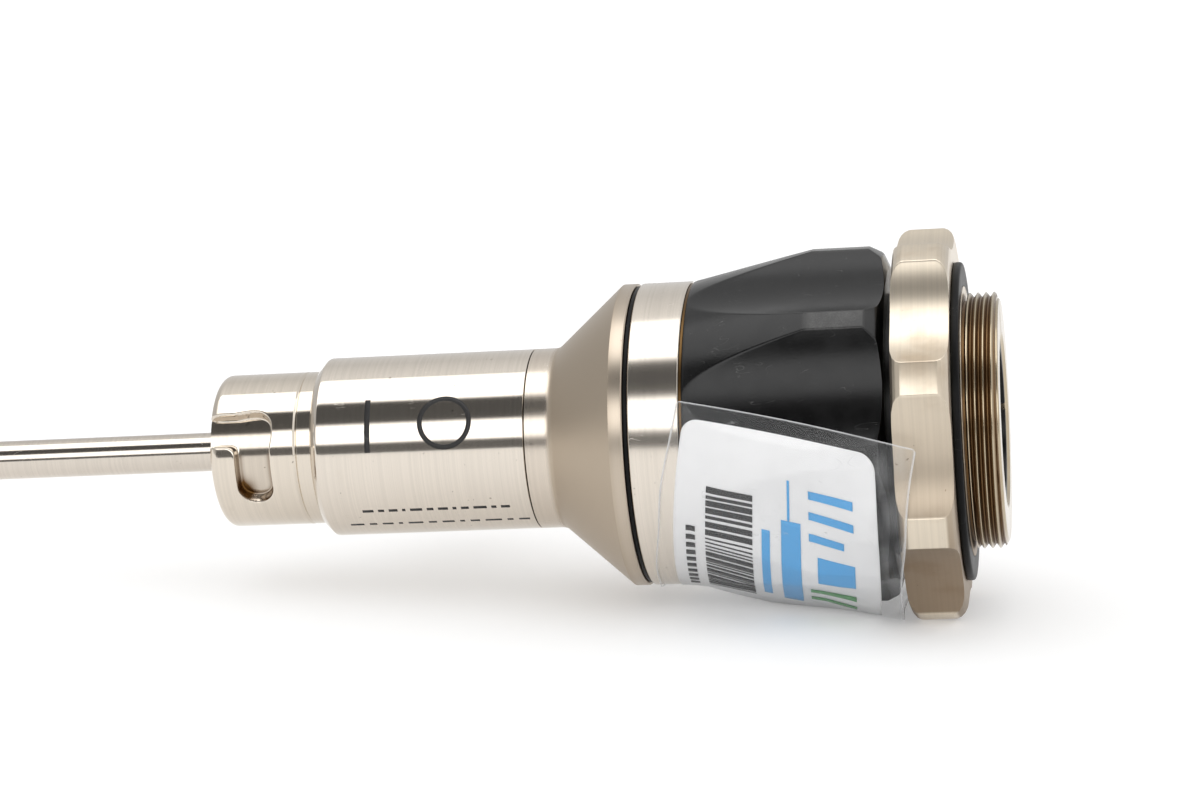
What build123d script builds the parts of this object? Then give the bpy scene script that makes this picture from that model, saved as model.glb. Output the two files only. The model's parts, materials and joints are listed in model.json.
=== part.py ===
from build123d import *
from math import atan2, copysign, cos, degrees, radians, sin, sqrt, tan
import os

os.makedirs("parts", exist_ok=True)

# A rigid endoscope for joint surgery, lying as it comes to rest: two ridges of the
# scalloped camera nut and the tip of the shaft touch the floor. Stations run along the
# instrument's axis in millimetres, zero at the camera nut's rear face, positive towards
# the camera and negative towards the tip. Turns are angles round the axis in degrees,
# zero towards the front (-Y) and 90 at the top.

# Camera mount
thread_radius = 12.7
thread_start = 1.2
thread_length = 2.5
thread_lead_radius = 12.1
thread_lead = 0.6
shoulder_radius = 13.4
relief_radius = 11.9
relief_width = 0.35
nut_width = 6.15
nut_radius = 19.6
nut_front_chamfer = (1.8, 1.33)
nut_rear_chamfer = (1.25, 1.33)
nut_scallop_floor = 17.3
nut_scallop_half_angle = 17.7
mount_bore_radius = 7.4
mount_socket_depth = 3.65
gasket_width = 0.8
gasket_radius = 15.8
gasket_edge = 0.3

# Rear window
window_radius = 8.4
window_width = 1.2
window_inset = 1.3
window_retainer_inner = 7.4
window_retainer_width = 1.0
spanner_slot_width = 0.75

# Focus grip
grip_gap = 0.25
grip_length = 19.75
grip_front_radius = 15.2
grip_ridge_radius = 17.85
grip_cone_length = 12.35
grip_rear_chamfer = (1.8, 1.9)
grip_scallop_floor = 15.3
grip_scallop_half_angle = 19.3
grip_groove_depth = 1.3
grip_groove_reach = 4.5
scallop_count = 8

# Front ring, washer and swivel seal
washer_width = 0.4
washer_radius = 15.0
ring_width = 4.55
ring_radius = 15.2
ring_edge = 0.25
seal_gap = 0.75
seal_lap = 0.25
seal_edge = 0.2

# Coupler core and its swivel bearing
core_radius = 13.0
core_wall = 3.0
bearing_sleeve = 2.5
bearing_wall = 0.5
bearing_recess_wall = 0.8
bearing_recess_length = 3.0
journal_wall = 2.0
retainer_width = 2.4
retainer_clearance = 0.4
grip_seal_section = 0.45
grip_seal_insets = (0.95, 1.7)

# Focusing group
cell_length = 11.0
cell_front_station = -19.5
cell_wall = 1.95
cell_shoulder_height = 0.8
cell_shoulder_width = 1.6
cell_rear_depth = 3.4
cell_retainer_width = 1.2
front_lens_width = 3.6
front_lens_bulge = 1.4
rear_lens_width = 1.6
rear_lens_bulge = 0.8
pin_radius = 1.0
pin_inset = 1.6
pin_turn = 90
slot_travel = 4.0
slot_slant = 35

# Telescope housing
cone_rim_width = 1.25
cone_length = 6.9
cone_collar_width = 2.6
cone_spigot_length = 6.0
cone_blend = 1.2
cone_step = 0.5
rim_chamfer = 0.25
barrel_length = 22.0
barrel_radius = 9.1
barrel_bore_radius = 7.0
barrel_chamfer = 0.8
seam_chamfer = 0.12
lock_length = 10.7
lock_radius = 7.8
lock_edge = 1.0
lock_spigot_length = 6.0
lock_groove_inset = 1.7
lock_groove_depth = 0.15

# Bayonet slot in the sheath lock
slot_depth = 1.1
slot_entry_turns = (13.3, 38.0)
slot_inset = 2.7
slot_width = 3.6
slot_end_turn = -32.5
slot_corner = 1.3
slot_inner_corner = 0.5

# Insertion tube and light path
working_length = 165.0
tube_radius = 2.0
tube_wall = 0.15
tube_seat_depth = 9.0
tube_collar = 0.6
optics_radius = 1.4
optics_wall = 0.15
view_angle = 30
fibre_gather_length = 5.0
fibre_gather_radius = 4.6
bundle_radius = 1.4
bundle_bend = 3.9
bundle_root = 0.5

# Light post
post_station = -54.0
post_turn = 190
post_reach = 27.5
post_stem_radius = 3.4
post_flange_radius = 4.5
post_flange_seat = 7.8
post_flange_top = 11.6
post_waist_radius = 3.0
post_waist = 1.2
post_body_radius = 3.9
post_body = 8.0
post_nose_radius = 3.2
post_chamfer = 0.5
post_groove_depth = 0.5
post_glass_width = 0.8

# Lens train
window_glass = 0.6
prism_gap = 0.2
prism_length = 3.0
prism_flat = 0.95
objective_count = 2
objective_width = 1.1
objective_bulge = 0.2
objective_gap = 0.5
rod_count = 5
rod_gap = 3.0
rod_bulge = 0.15
spacer_wall = 0.2
spacer_play = 0.06
ocular_setback = 3.0
ocular_cell_radius = 5.6
ocular_cell_length = 8.6
ocular_bore_radius = 4.6
ocular_floor = 1.5
ocular_inset = 1.6
ocular_widths = (1.6, 2.6)
ocular_bulge = 0.6
ocular_gap = 0.3

# Clearances: bonded faces, glued or screwed seats, running fits and play along the axis
seat = 0.02
bond = 0.025
running = 0.05
play = 0.1
open_past = 1.0

# Stations that follow from the sizes above
nut_front = -nut_width
grip_rear = nut_front - grip_gap
grip_front = grip_rear - grip_length
washer_front = grip_front - washer_width
ring_front = washer_front - ring_width
cone_rear = ring_front - seal_gap
cone_top = cone_rear - cone_rim_width
cone_foot = cone_top - cone_length
barrel_rear = cone_foot - cone_collar_width
barrel_front = barrel_rear - barrel_length
lock_front = barrel_front - lock_length
tip = lock_front - working_length
tube_rear = lock_front + tube_seat_depth
lock_rear = barrel_front + lock_spigot_length
thread_end = thread_start + thread_length
mount_rear = thread_end + thread_lead
socket_floor = nut_front + mount_socket_depth

# Radii that follow from the coupler core's
core_bore_radius = core_radius - core_wall
bearing_recess_radius = core_radius - bearing_recess_wall
journal_radius = core_radius - bearing_sleeve
journal_bore_radius = journal_radius - journal_wall
retainer_radius = bearing_recess_radius - retainer_clearance
cell_outer = core_bore_radius - running
cell_bore_radius = cell_outer - cell_wall
cell_shoulder_radius = cell_bore_radius - cell_shoulder_height

# How the instrument lies
ridge_pitch = 360 / scallop_count
nut_drop = nut_radius * cos(radians(nut_scallop_half_angle))
nut_contact = nut_front + nut_front_chamfer[0]
tip_contact = tip + tube_radius * tan(radians(view_angle))
tilt = atan2(nut_drop - tube_radius, nut_contact - tip_contact)
axis_height = nut_drop * cos(tilt) - nut_contact * sin(tilt)
span_middle = (tip + mount_rear) / 2 * cos(tilt)
post_side = post_reach * -cos(radians(post_turn))
span_side = (post_side - nut_drop) / 2

# The instrument's own axis and the planes that its sketches stand on
along = Vector(cos(tilt), 0, sin(tilt))
front = Vector(0, -1, 0)
upward = Vector(-sin(tilt), 0, cos(tilt))
camera_seat = Vector(-span_middle, -span_side, axis_height)
scope_axis = Axis(camera_seat, along * -1)


def point_at(station, reach=0.0, turn=0.0):
    """Point at a station, a reach away from the axis at a turn round it."""
    return camera_seat + along * station + radial(turn) * reach


def radial(turn):
    """Direction away from the axis at a turn round it."""
    return front * cos(radians(turn)) + upward * sin(radians(turn))


def across(station):
    """Plane square to the axis, with turns as its angles and its normal towards the tip."""
    return Plane(origin=point_at(station), x_dir=front, z_dir=along * -1)


def lengthwise(turn):
    """Plane through the axis, with stations as its X and reach at a turn as its Y."""
    return Plane(origin=camera_seat, x_dir=along, z_dir=along.cross(radial(turn)))


def outward(station, turn):
    """Plane through the axis point of a station that faces away from the axis at a turn."""
    return Plane(origin=point_at(station), x_dir=along, z_dir=radial(turn))


section = lengthwise(90)


def band(start, end, inner, outer, mode=Mode.ADD):
    """Section of a ring between two stations and two radii."""
    with Locations(((start + end) / 2, (inner + outer) / 2)):
        Rectangle(end - start, outer - inner, mode=mode)


def outline(*points):
    """Closed section through corner points of station and radius."""
    with BuildLine() as border:
        Polyline(*points, close=True)
    make_face(border.edges())


def dome(rim, bulge, radius, height):
    """Station, at a height above the axis, of a round face that meets rim at its edge."""
    curve = (radius**2 + bulge**2) / (2 * bulge)
    return rim + bulge - (curve - copysign(sqrt(curve**2 - height**2), curve))


def lens(front_rim, rear_rim, radius, front_bulge, rear_bulge):
    """Half section of a lens whose faces are flat or stand out by their bulges at the axis."""
    faces = ((front_rim, -front_bulge), (rear_rim, rear_bulge))
    with BuildLine() as border:
        for rim, bulge in faces:
            if bulge:
                halfway = (dome(rim, bulge, radius, radius / 2), radius / 2)
                ThreePointArc((rim, radius), halfway, (rim + bulge, 0))
            else:
                Line((rim, radius), (rim, 0))
        Line((front_rim, radius), (rear_rim, radius))
        Line((front_rim - front_bulge, 0), (rear_rim + rear_bulge, 0))
    make_face(border.edges())


def scallop_cutter(ridge_radius, floor_radius, half_angle):
    """Radius and distance from the axis of the round cutter that leaves a scallop."""
    half_width = ridge_radius * sin(radians(half_angle))
    rise = ridge_radius * cos(radians(half_angle)) - floor_radius
    cutter = (half_width**2 + rise**2) / (2 * rise)
    return cutter, floor_radius + cutter


def finish(piece, name):
    """Label a piece and write it."""
    piece.part.label = name
    export_step(piece.part, f"parts/{name}.step")


# The bevelled end face: square to the view, which looks away from the light post
view_turn = post_turn - 180
view_out = along * -cos(radians(view_angle)) + radial(view_turn) * sin(radians(view_angle))
tip_face = Plane(origin=point_at(tip, tube_radius, post_turn), z_dir=view_out)

# Camera mount: scalloped nut and camera thread, turned in one piece
with BuildPart() as camera_mount:
    nut_face_radius = nut_radius - nut_front_chamfer[1]
    nut_back_radius = nut_radius - nut_rear_chamfer[1]
    retainer_seat = mount_rear - window_inset - window_width
    with BuildSketch(section):
        outline(
            (nut_front, core_radius + seat),
            (nut_front, nut_face_radius),
            (nut_front + nut_front_chamfer[0], nut_radius),
            (-nut_rear_chamfer[0], nut_radius),
            (0, nut_back_radius),
            (0, shoulder_radius),
            (thread_start - relief_width, shoulder_radius),
            (thread_start - relief_width, relief_radius),
            (thread_start, relief_radius),
            (thread_start, thread_radius),
            (thread_end, thread_radius),
            (thread_end, thread_lead_radius),
            (mount_rear - rim_chamfer, thread_lead_radius),
            (mount_rear, thread_lead_radius - rim_chamfer),
            (mount_rear, window_radius + seat),
            (retainer_seat, window_radius + seat),
            (retainer_seat, mount_bore_radius),
            (socket_floor, mount_bore_radius),
            (socket_floor, core_radius + seat),
        )
    revolve(axis=scope_axis)
    cutter, distance = scallop_cutter(nut_radius, nut_scallop_floor, nut_scallop_half_angle)
    with BuildSketch(across(0)):
        with PolarLocations(distance, scallop_count):
            Circle(cutter)
    extrude(amount=nut_width, mode=Mode.SUBTRACT)
finish(camera_mount, "camera_mount")

# Gasket: black flat ring with a broken edge against the nut's rear face
with BuildPart() as mount_gasket:
    with BuildSketch(section):
        band(bond, gasket_width, shoulder_radius + seat, gasket_radius)
        chamfer(vertices().sort_by(Axis.Y)[-2:], gasket_edge)
    revolve(axis=scope_axis)
finish(mount_gasket, "mount_gasket")

# Rear window and the ring that holds it
with BuildPart() as rear_window:
    with BuildSketch(section):
        band(retainer_seat + bond, retainer_seat + window_width, 0, window_radius)
    revolve(axis=scope_axis)
finish(rear_window, "rear_window")

with BuildPart() as window_retainer:
    retainer_start = retainer_seat + window_width + bond
    with BuildSketch(section):
        band(
            retainer_start,
            retainer_start + window_retainer_width,
            window_retainer_inner,
            window_radius,
        )
    revolve(axis=scope_axis)
    with BuildSketch(across(retainer_start + window_retainer_width)):
        Rectangle(2 * window_radius, spanner_slot_width)
    extrude(amount=window_retainer_width / 2, mode=Mode.SUBTRACT)
finish(window_retainer, "window_retainer")

# Focus grip: black sleeve with eight long scallops cut into its cone and land
with BuildPart() as focus_grip:
    grip_land = grip_front + grip_cone_length
    grip_bore = core_radius + running
    with BuildSketch(section):
        outline(
            (grip_front, grip_bore),
            (grip_front, grip_front_radius),
            (grip_land, grip_ridge_radius),
            (grip_rear - grip_rear_chamfer[0], grip_ridge_radius),
            (grip_rear, grip_ridge_radius - grip_rear_chamfer[1]),
            (grip_rear, grip_bore),
        )
    revolve(axis=scope_axis)
    cutter, distance = scallop_cutter(
        grip_ridge_radius, grip_scallop_floor, grip_scallop_half_angle
    )
    with BuildSketch(across(grip_rear)):
        with PolarLocations(distance, scallop_count, start_angle=ridge_pitch / 2):
            Circle(cutter)
    extrude(amount=grip_length, mode=Mode.SUBTRACT)
    pin_station = cell_front_station + cell_length - cell_rear_depth - pin_inset
    with BuildSketch(across(grip_rear)):
        with PolarLocations(core_radius, 1, start_angle=pin_turn):
            Rectangle(2 * grip_groove_depth, 2 * (pin_radius + running))
    extrude(amount=grip_rear - pin_station + grip_groove_reach, mode=Mode.SUBTRACT)
finish(focus_grip, "focus_grip")

# Front ring, the washer behind it and the seal in the swivel's seam
with BuildPart() as front_ring:
    with BuildSketch(section):
        band(ring_front, washer_front, core_radius + seat, ring_radius)
        chamfer(vertices().sort_by(Axis.Y)[-2:], ring_edge)
    revolve(axis=scope_axis)
finish(front_ring, "front_ring")

with BuildPart() as glide_washer:
    with BuildSketch(section):
        band(
            washer_front + seat,
            grip_front - seat,
            core_radius + seat,
            washer_radius,
        )
    revolve(axis=scope_axis)
finish(glide_washer, "glide_washer")

with BuildPart() as rotation_seal:
    with BuildSketch(section):
        band(
            cone_rear + running,
            ring_front - seat,
            core_radius - seal_lap,
            ring_radius - seal_edge,
        )
        chamfer(vertices().sort_by(Axis.Y)[-2:], seal_edge)
    revolve(axis=scope_axis)
finish(rotation_seal, "rotation_seal")

# Coupler core: the stepped tube inside ring, grip and nut, with the swivel bearing in
# front, the recess for the swivel's retainer and the slanted slot for the cam pin
core_front = ring_front + seat
seal_half = grip_seal_section + seat
seal_stations = (grip_front + grip_seal_insets[0], grip_rear - grip_seal_insets[1])
bearing_rear = seal_stations[0] + seal_half + bearing_wall

with BuildPart() as coupler_core:
    recess_rear = bearing_rear + bearing_recess_length
    with BuildSketch(section):
        band(core_front, socket_floor - seat, core_bore_radius, core_radius)
        band(core_front, bearing_rear, 0, journal_radius + running, Mode.SUBTRACT)
        band(bearing_rear, recess_rear, 0, bearing_recess_radius, Mode.SUBTRACT)
        for station in seal_stations:
            band(
                station - seal_half,
                station + seal_half,
                core_radius - 2 * grip_seal_section,
                core_radius + open_past,
                Mode.SUBTRACT,
            )
    revolve(axis=scope_axis)
    with BuildSketch(outward(pin_station, pin_turn)):
        SlotCenterToCenter(slot_travel, 2 * (pin_radius + running), rotation=slot_slant)
    extrude(amount=core_radius + open_past, mode=Mode.SUBTRACT)
finish(coupler_core, "coupler_core")

# Square-cut seals that the grip slides on
with BuildPart() as grip_seals:
    seal_top = core_radius + running - seat
    with BuildSketch(section):
        for station in seal_stations:
            band(
                station - grip_seal_section,
                station + grip_seal_section,
                seal_top - 2 * grip_seal_section,
                seal_top,
            )
    revolve(axis=scope_axis)
finish(grip_seals, "grip_seals")

# Focusing group: lens cell, its two lenses and retainer, and the cam pin
cell_rear_station = cell_front_station + cell_length
front_seat = cell_rear_station - cell_rear_depth - cell_shoulder_width
rear_seat = cell_rear_station - cell_rear_depth

with BuildPart() as lens_cell:
    with BuildSketch(section):
        band(cell_front_station, cell_rear_station, cell_shoulder_radius, cell_outer)
        band(cell_front_station, front_seat, 0, cell_bore_radius, Mode.SUBTRACT)
        band(rear_seat, cell_rear_station, 0, cell_bore_radius, Mode.SUBTRACT)
    revolve(axis=scope_axis)
    with BuildSketch(outward(pin_station, pin_turn)):
        Circle(pin_radius + seat)
    extrude(amount=cell_outer + open_past, mode=Mode.SUBTRACT)
finish(lens_cell, "lens_cell")

with BuildPart() as front_lens:
    with BuildSketch(section):
        lens(
            front_seat - seat - front_lens_width,
            front_seat - seat,
            cell_bore_radius - seat,
            front_lens_bulge,
            0,
        )
    revolve(axis=scope_axis)
finish(front_lens, "front_lens")

with BuildPart() as rear_lens:
    with BuildSketch(section):
        lens(
            rear_seat + seat,
            rear_seat + seat + rear_lens_width,
            cell_bore_radius - seat,
            0,
            rear_lens_bulge,
        )
    revolve(axis=scope_axis)
finish(rear_lens, "rear_lens")

with BuildPart() as cell_retainer:
    rear_rim = rear_seat + seat + rear_lens_width
    lens_edge = cell_bore_radius - seat
    retainer_start = dome(rear_rim, rear_lens_bulge, lens_edge, cell_shoulder_radius) + seat
    with BuildSketch(section):
        band(
            retainer_start,
            retainer_start + cell_retainer_width,
            cell_shoulder_radius,
            cell_bore_radius - seat,
        )
    revolve(axis=scope_axis)
finish(cell_retainer, "cell_retainer")

with BuildPart() as cam_pin:
    pin_foot = cell_bore_radius + running
    pin_head = core_radius + grip_groove_depth - play
    with BuildSketch(outward(pin_station, pin_turn).offset(pin_foot)):
        Circle(pin_radius)
    extrude(amount=pin_head - pin_foot)
    chamfer(faces().sort_by(Axis(point_at(pin_station), radial(pin_turn)))[-1].edges(), rim_chamfer)
finish(cam_pin, "cam_pin")

# Cone housing: collar, cone and rim, with a spigot into the barrel and the journal that
# turns in the coupler core
with BuildPart() as cone_housing:
    spigot_front = barrel_rear - cone_spigot_length
    journal_rear = bearing_rear + play + retainer_width
    with BuildSketch(section):
        outline(
            (spigot_front, ocular_cell_radius + seat),
            (spigot_front, barrel_bore_radius - seat),
            (barrel_rear + seat, barrel_bore_radius - seat),
            (barrel_rear + seat, barrel_radius - seam_chamfer),
            (barrel_rear + seam_chamfer, barrel_radius),
            (cone_foot, barrel_radius),
            (cone_top, ring_radius),
            (cone_rear - rim_chamfer, ring_radius),
            (cone_rear, ring_radius - rim_chamfer),
            (cone_rear, journal_radius),
            (journal_rear, journal_radius),
            (journal_rear, journal_bore_radius),
            (cone_foot, ocular_cell_radius + cone_step),
            (cone_foot, ocular_cell_radius + seat),
        )
        fillet(vertices().sort_by_distance((cone_foot, barrel_radius))[0], cone_blend)
    revolve(axis=scope_axis)
finish(cone_housing, "cone_housing")

with BuildPart() as swivel_retainer:
    with BuildSketch(section):
        band(
            bearing_rear + play,
            bearing_rear + play + retainer_width,
            journal_radius + seat,
            retainer_radius,
        )
    revolve(axis=scope_axis)
finish(swivel_retainer, "swivel_retainer")

# Barrel: plain turned housing with a seat for the light post
with BuildPart() as body_barrel:
    with BuildSketch(section):
        outline(
            (barrel_front, barrel_bore_radius),
            (barrel_front, barrel_radius - barrel_chamfer),
            (barrel_front + barrel_chamfer, barrel_radius),
            (barrel_rear - seam_chamfer, barrel_radius),
            (barrel_rear, barrel_radius - seam_chamfer),
            (barrel_rear, barrel_bore_radius),
        )
    revolve(axis=scope_axis)
    with BuildSketch(outward(post_station, post_turn)):
        Circle(post_stem_radius + seat)
    extrude(amount=barrel_radius + open_past, mode=Mode.SUBTRACT)
    with BuildSketch(outward(post_station, post_turn).offset(post_flange_seat)):
        Circle(post_flange_radius + seat)
    extrude(amount=barrel_radius, mode=Mode.SUBTRACT)
finish(body_barrel, "body_barrel")

# Light post: stem through the barrel's wall, flange, waist and the plug for the cable
post_out = radial(post_turn)
post_axis = Axis(point_at(post_station), post_out)
post_section = Plane(origin=point_at(post_station), x_dir=post_out, z_dir=post_out.cross(along))
glass_seat = post_reach - post_glass_width

with BuildPart() as light_post:
    waist_top = post_flange_top + post_waist
    body_top = waist_top + post_body
    groove_middle = body_top - 2 * post_chamfer - post_groove_depth
    with BuildSketch(post_section):
        outline(
            (barrel_bore_radius - play, bundle_radius + seat),
            (barrel_bore_radius - play, post_stem_radius),
            (post_flange_seat + seat, post_stem_radius),
            (post_flange_seat + seat, post_flange_radius),
            (post_flange_top - rim_chamfer, post_flange_radius),
            (post_flange_top, post_flange_radius - rim_chamfer),
            (post_flange_top, post_waist_radius),
            (waist_top, post_waist_radius),
            (waist_top, post_body_radius),
            (groove_middle - post_groove_depth, post_body_radius),
            (groove_middle, post_body_radius - post_groove_depth),
            (groove_middle + post_groove_depth, post_body_radius),
            (body_top - post_chamfer, post_body_radius),
            (body_top, post_body_radius - post_chamfer),
            (body_top, post_nose_radius),
            (post_reach - post_chamfer, post_nose_radius),
            (post_reach, post_nose_radius - post_chamfer),
            (post_reach, bundle_radius + post_chamfer),
            (glass_seat, bundle_radius + post_chamfer),
            (glass_seat, bundle_radius + seat),
        )
    revolve(axis=post_axis)
finish(light_post, "light_post")

with BuildPart() as post_window:
    with BuildSketch(outward(post_station, post_turn).offset(glass_seat + seat)):
        Circle(bundle_radius + post_chamfer - seat)
    extrude(amount=post_glass_width - 2 * seat)
finish(post_window, "post_window")

# Space that the J-shaped bayonet slot takes from the sheath lock: an entry from the front
# edge, a leg round the boss and a rounded end, all down to one round floor
with BuildPart() as bayonet_slot:
    slot_floor = lock_radius - slot_depth
    leg_front = lock_front + slot_inset
    leg_rear = leg_front + slot_width
    leg_start = slot_entry_turns[1]
    leg_end = slot_end_turn + degrees(slot_width / 2 / lock_radius)
    with BuildSketch(lengthwise(leg_end)):
        band(leg_front, leg_rear, 0, lock_radius + open_past)
    revolve(axis=scope_axis, revolution_arc=leg_start - leg_end)
    with BuildSketch(lengthwise(slot_entry_turns[0])):
        band(lock_front - open_past, leg_rear, 0, lock_radius + open_past)
    revolve(axis=scope_axis, revolution_arc=slot_entry_turns[1] - slot_entry_turns[0])
    with BuildSketch(outward((leg_front + leg_rear) / 2, leg_end)):
        Circle(slot_width / 2)
    extrude(amount=lock_radius + open_past)
    with BuildSketch(section):
        band(lock_front - 2 * open_past, leg_rear + open_past, 0, slot_floor)
    revolve(axis=scope_axis, mode=Mode.SUBTRACT)
    for station, turn, radius in (
        (leg_rear, slot_entry_turns[1], slot_corner),
        (leg_front, slot_entry_turns[0], slot_inner_corner),
    ):
        corner = point_at(station, lock_radius, turn)
        fillet(edges().sort_by_distance(corner)[0], radius)

# Sheath lock: boss whose slot takes the sheath's pin, with a spigot into the barrel
gather_front = tube_rear + seat
gather_rear = gather_front + fibre_gather_length
collar_radius = tube_radius + tube_collar

with BuildPart() as sheath_lock:
    groove_station = barrel_front - lock_groove_inset
    with BuildSketch(section):
        outline(
            (lock_front, collar_radius + seat),
            (lock_front, lock_radius),
            (groove_station - lock_groove_depth, lock_radius),
            (groove_station, lock_radius - lock_groove_depth),
            (groove_station + lock_groove_depth, lock_radius),
            (barrel_front, lock_radius),
            (barrel_front, barrel_bore_radius - seat),
            (lock_rear, barrel_bore_radius - seat),
            (lock_rear, fibre_gather_radius + seat),
            (gather_rear, fibre_gather_radius + seat),
            (tube_rear, collar_radius + seat),
        )
        fillet(vertices().sort_by_distance((lock_front, lock_radius))[0], lock_edge)
    revolve(axis=scope_axis)
    add(bayonet_slot.part, mode=Mode.SUBTRACT)
finish(sheath_lock, "sheath_lock")

# Insertion tube: thin stainless tube with its tip ground to the view angle and a collar
# soldered on where it seats in the sheath lock
with BuildPart() as insertion_tube:
    with BuildSketch(section):
        band(tip, tube_rear, tube_radius - tube_wall, tube_radius)
        band(lock_front, tube_rear, tube_radius - tube_wall, collar_radius)
    revolve(axis=scope_axis)
    split(bisect_by=tip_face, keep=Keep.BOTTOM)
finish(insertion_tube, "insertion_tube")

# Light fibres: a sleeve between the two tubes that gathers into a bundle and bends out
# into the light post
sleeve_inner = optics_radius + seat
bundle_height = sleeve_inner + seat + bundle_radius

with BuildPart() as light_fibres:
    with BuildSketch(section):
        outline(
            (tip, sleeve_inner),
            (tip, tube_radius - tube_wall - seat),
            (gather_front, tube_radius - tube_wall - seat),
            (gather_front, tube_radius),
            (gather_rear, fibre_gather_radius),
            (gather_rear, sleeve_inner),
        )
    revolve(axis=scope_axis)
    with BuildLine(lengthwise(post_turn)):
        FilletPolyline(
            (gather_rear - bundle_root, bundle_height),
            (post_station, bundle_height),
            (post_station, glass_seat),
            radius=bundle_bend,
        )
    bundle_foot = point_at(gather_rear - bundle_root, bundle_height, post_turn)
    with BuildSketch(Plane(origin=bundle_foot, z_dir=along)):
        Circle(bundle_radius)
    sweep()
    split(bisect_by=tip_face, keep=Keep.BOTTOM)
finish(light_fibres, "light_fibres")

# Optics tube: holds the glass from the end window to the eyepiece
ocular_front = barrel_rear - cone_spigot_length
optics_rear = ocular_front + ocular_floor
glass_radius = optics_radius - optics_wall - seat

with BuildPart() as optics_tube:
    with BuildSketch(section):
        band(tip, optics_rear, optics_radius - optics_wall, optics_radius)
    revolve(axis=scope_axis)
    split(bisect_by=tip_face, keep=Keep.BOTTOM)
finish(optics_tube, "optics_tube")

# End window, ground flush with the tip, and the prism that looks through it
bevel_rear = tip + 2 * tube_radius * tan(radians(view_angle))
prism_rear = bevel_rear + prism_length

with BuildPart() as distal_window:
    with BuildSketch(section):
        band(tip, bevel_rear + window_glass, 0, glass_radius)
    revolve(axis=scope_axis)
    split(bisect_by=tip_face, keep=Keep.BOTTOM)
    split(bisect_by=tip_face.offset(-window_glass), keep=Keep.TOP)
finish(distal_window, "distal_window")

with BuildPart() as objective_prism:
    with BuildSketch(across(prism_rear)):
        Circle(glass_radius)
        Rectangle(2 * prism_flat, 2 * glass_radius, mode=Mode.INTERSECT)
    extrude(amount=prism_rear - tip)
    split(bisect_by=tip_face.offset(-window_glass - prism_gap), keep=Keep.BOTTOM)
finish(objective_prism, "objective_prism")

# Objective lenses, then the glass rods that relay the picture, with a spacer between each pair
objective_step = objective_gap + objective_width

with BuildPart() as objective_lenses:
    with BuildSketch(section):
        for index in range(objective_count):
            start = prism_rear + objective_gap + index * objective_step
            lens(start, start + objective_width, glass_radius, objective_bulge, 0)
    revolve(axis=scope_axis)
finish(objective_lenses, "objective_lenses")

relay_front = prism_rear + objective_count * objective_step + objective_gap
relay_rear = optics_rear - ocular_setback
rod_length = (relay_rear - relay_front - (rod_count - 1) * rod_gap) / rod_count
rod_starts = [relay_front + index * (rod_length + rod_gap) for index in range(rod_count)]

with BuildPart() as rod_lenses:
    with BuildSketch(section):
        for start in rod_starts:
            lens(start, start + rod_length, glass_radius, rod_bulge, rod_bulge)
    revolve(axis=scope_axis)
finish(rod_lenses, "rod_lenses")

with BuildPart() as rod_spacers:
    with BuildSketch(section):
        for start in rod_starts[1:]:
            band(
                start - rod_gap + spacer_play,
                start - spacer_play,
                glass_radius - spacer_wall,
                glass_radius,
            )
    revolve(axis=scope_axis)
finish(rod_spacers, "rod_spacers")

# Eyepiece: a cell in the cone housing that carries the optics tube's end and two lenses
with BuildPart() as ocular_cell:
    ocular_rear = ocular_front + ocular_cell_length
    with BuildSketch(section):
        band(ocular_front, ocular_rear, optics_radius + seat, ocular_cell_radius)
        band(optics_rear, ocular_rear, 0, ocular_bore_radius, Mode.SUBTRACT)
        band(ocular_front, optics_rear, 0, optics_radius + seat, Mode.SUBTRACT)
    revolve(axis=scope_axis)
finish(ocular_cell, "ocular_cell")

with BuildPart() as ocular_lenses:
    with BuildSketch(section):
        start = optics_rear + ocular_inset
        for width, bulges in zip(ocular_widths, ((0, ocular_bulge), (ocular_bulge, 0))):
            lens(start, start + width, ocular_bore_radius - seat, *bulges)
            start += width + 2 * ocular_bulge + ocular_gap
    revolve(axis=scope_axis)
finish(ocular_lenses, "ocular_lenses")
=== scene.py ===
"""A rigid endoscope for joint surgery, dressed for its portrait.

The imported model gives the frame. Each visible piece is a fine surface worked out with numpy
in the instrument's own terms: stations run along its axis in millimetres, zero at the rear
face of the camera nut and positive towards the camera; turns are angles round the axis in
degrees, zero towards the front and 90 at the top; radii are in millimetres.
"""

from __future__ import annotations

import json
import logging
from dataclasses import dataclass
from enum import Enum

import bmesh
import bpy
import numpy as np
from mathutils import Matrix, Vector

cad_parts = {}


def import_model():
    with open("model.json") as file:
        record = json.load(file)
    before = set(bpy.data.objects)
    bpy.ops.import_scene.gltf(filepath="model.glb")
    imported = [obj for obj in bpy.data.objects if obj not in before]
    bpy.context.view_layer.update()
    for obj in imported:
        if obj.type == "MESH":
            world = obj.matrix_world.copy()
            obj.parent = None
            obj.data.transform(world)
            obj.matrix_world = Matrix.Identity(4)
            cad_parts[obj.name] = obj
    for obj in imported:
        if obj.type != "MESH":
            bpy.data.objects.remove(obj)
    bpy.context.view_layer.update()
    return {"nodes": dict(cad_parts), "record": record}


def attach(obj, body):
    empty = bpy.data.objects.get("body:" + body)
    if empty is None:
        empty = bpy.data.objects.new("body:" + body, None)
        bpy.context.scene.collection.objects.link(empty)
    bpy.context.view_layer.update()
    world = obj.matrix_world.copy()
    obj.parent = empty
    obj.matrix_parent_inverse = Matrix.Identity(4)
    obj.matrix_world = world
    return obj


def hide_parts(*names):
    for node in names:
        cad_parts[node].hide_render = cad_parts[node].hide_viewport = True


LOG = logging.getLogger("endoscope")
# A millimetre in metres
MM = 0.001
# The axis falls towards the tip by this many radians
AXIS_TILT = 0.0709
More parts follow.
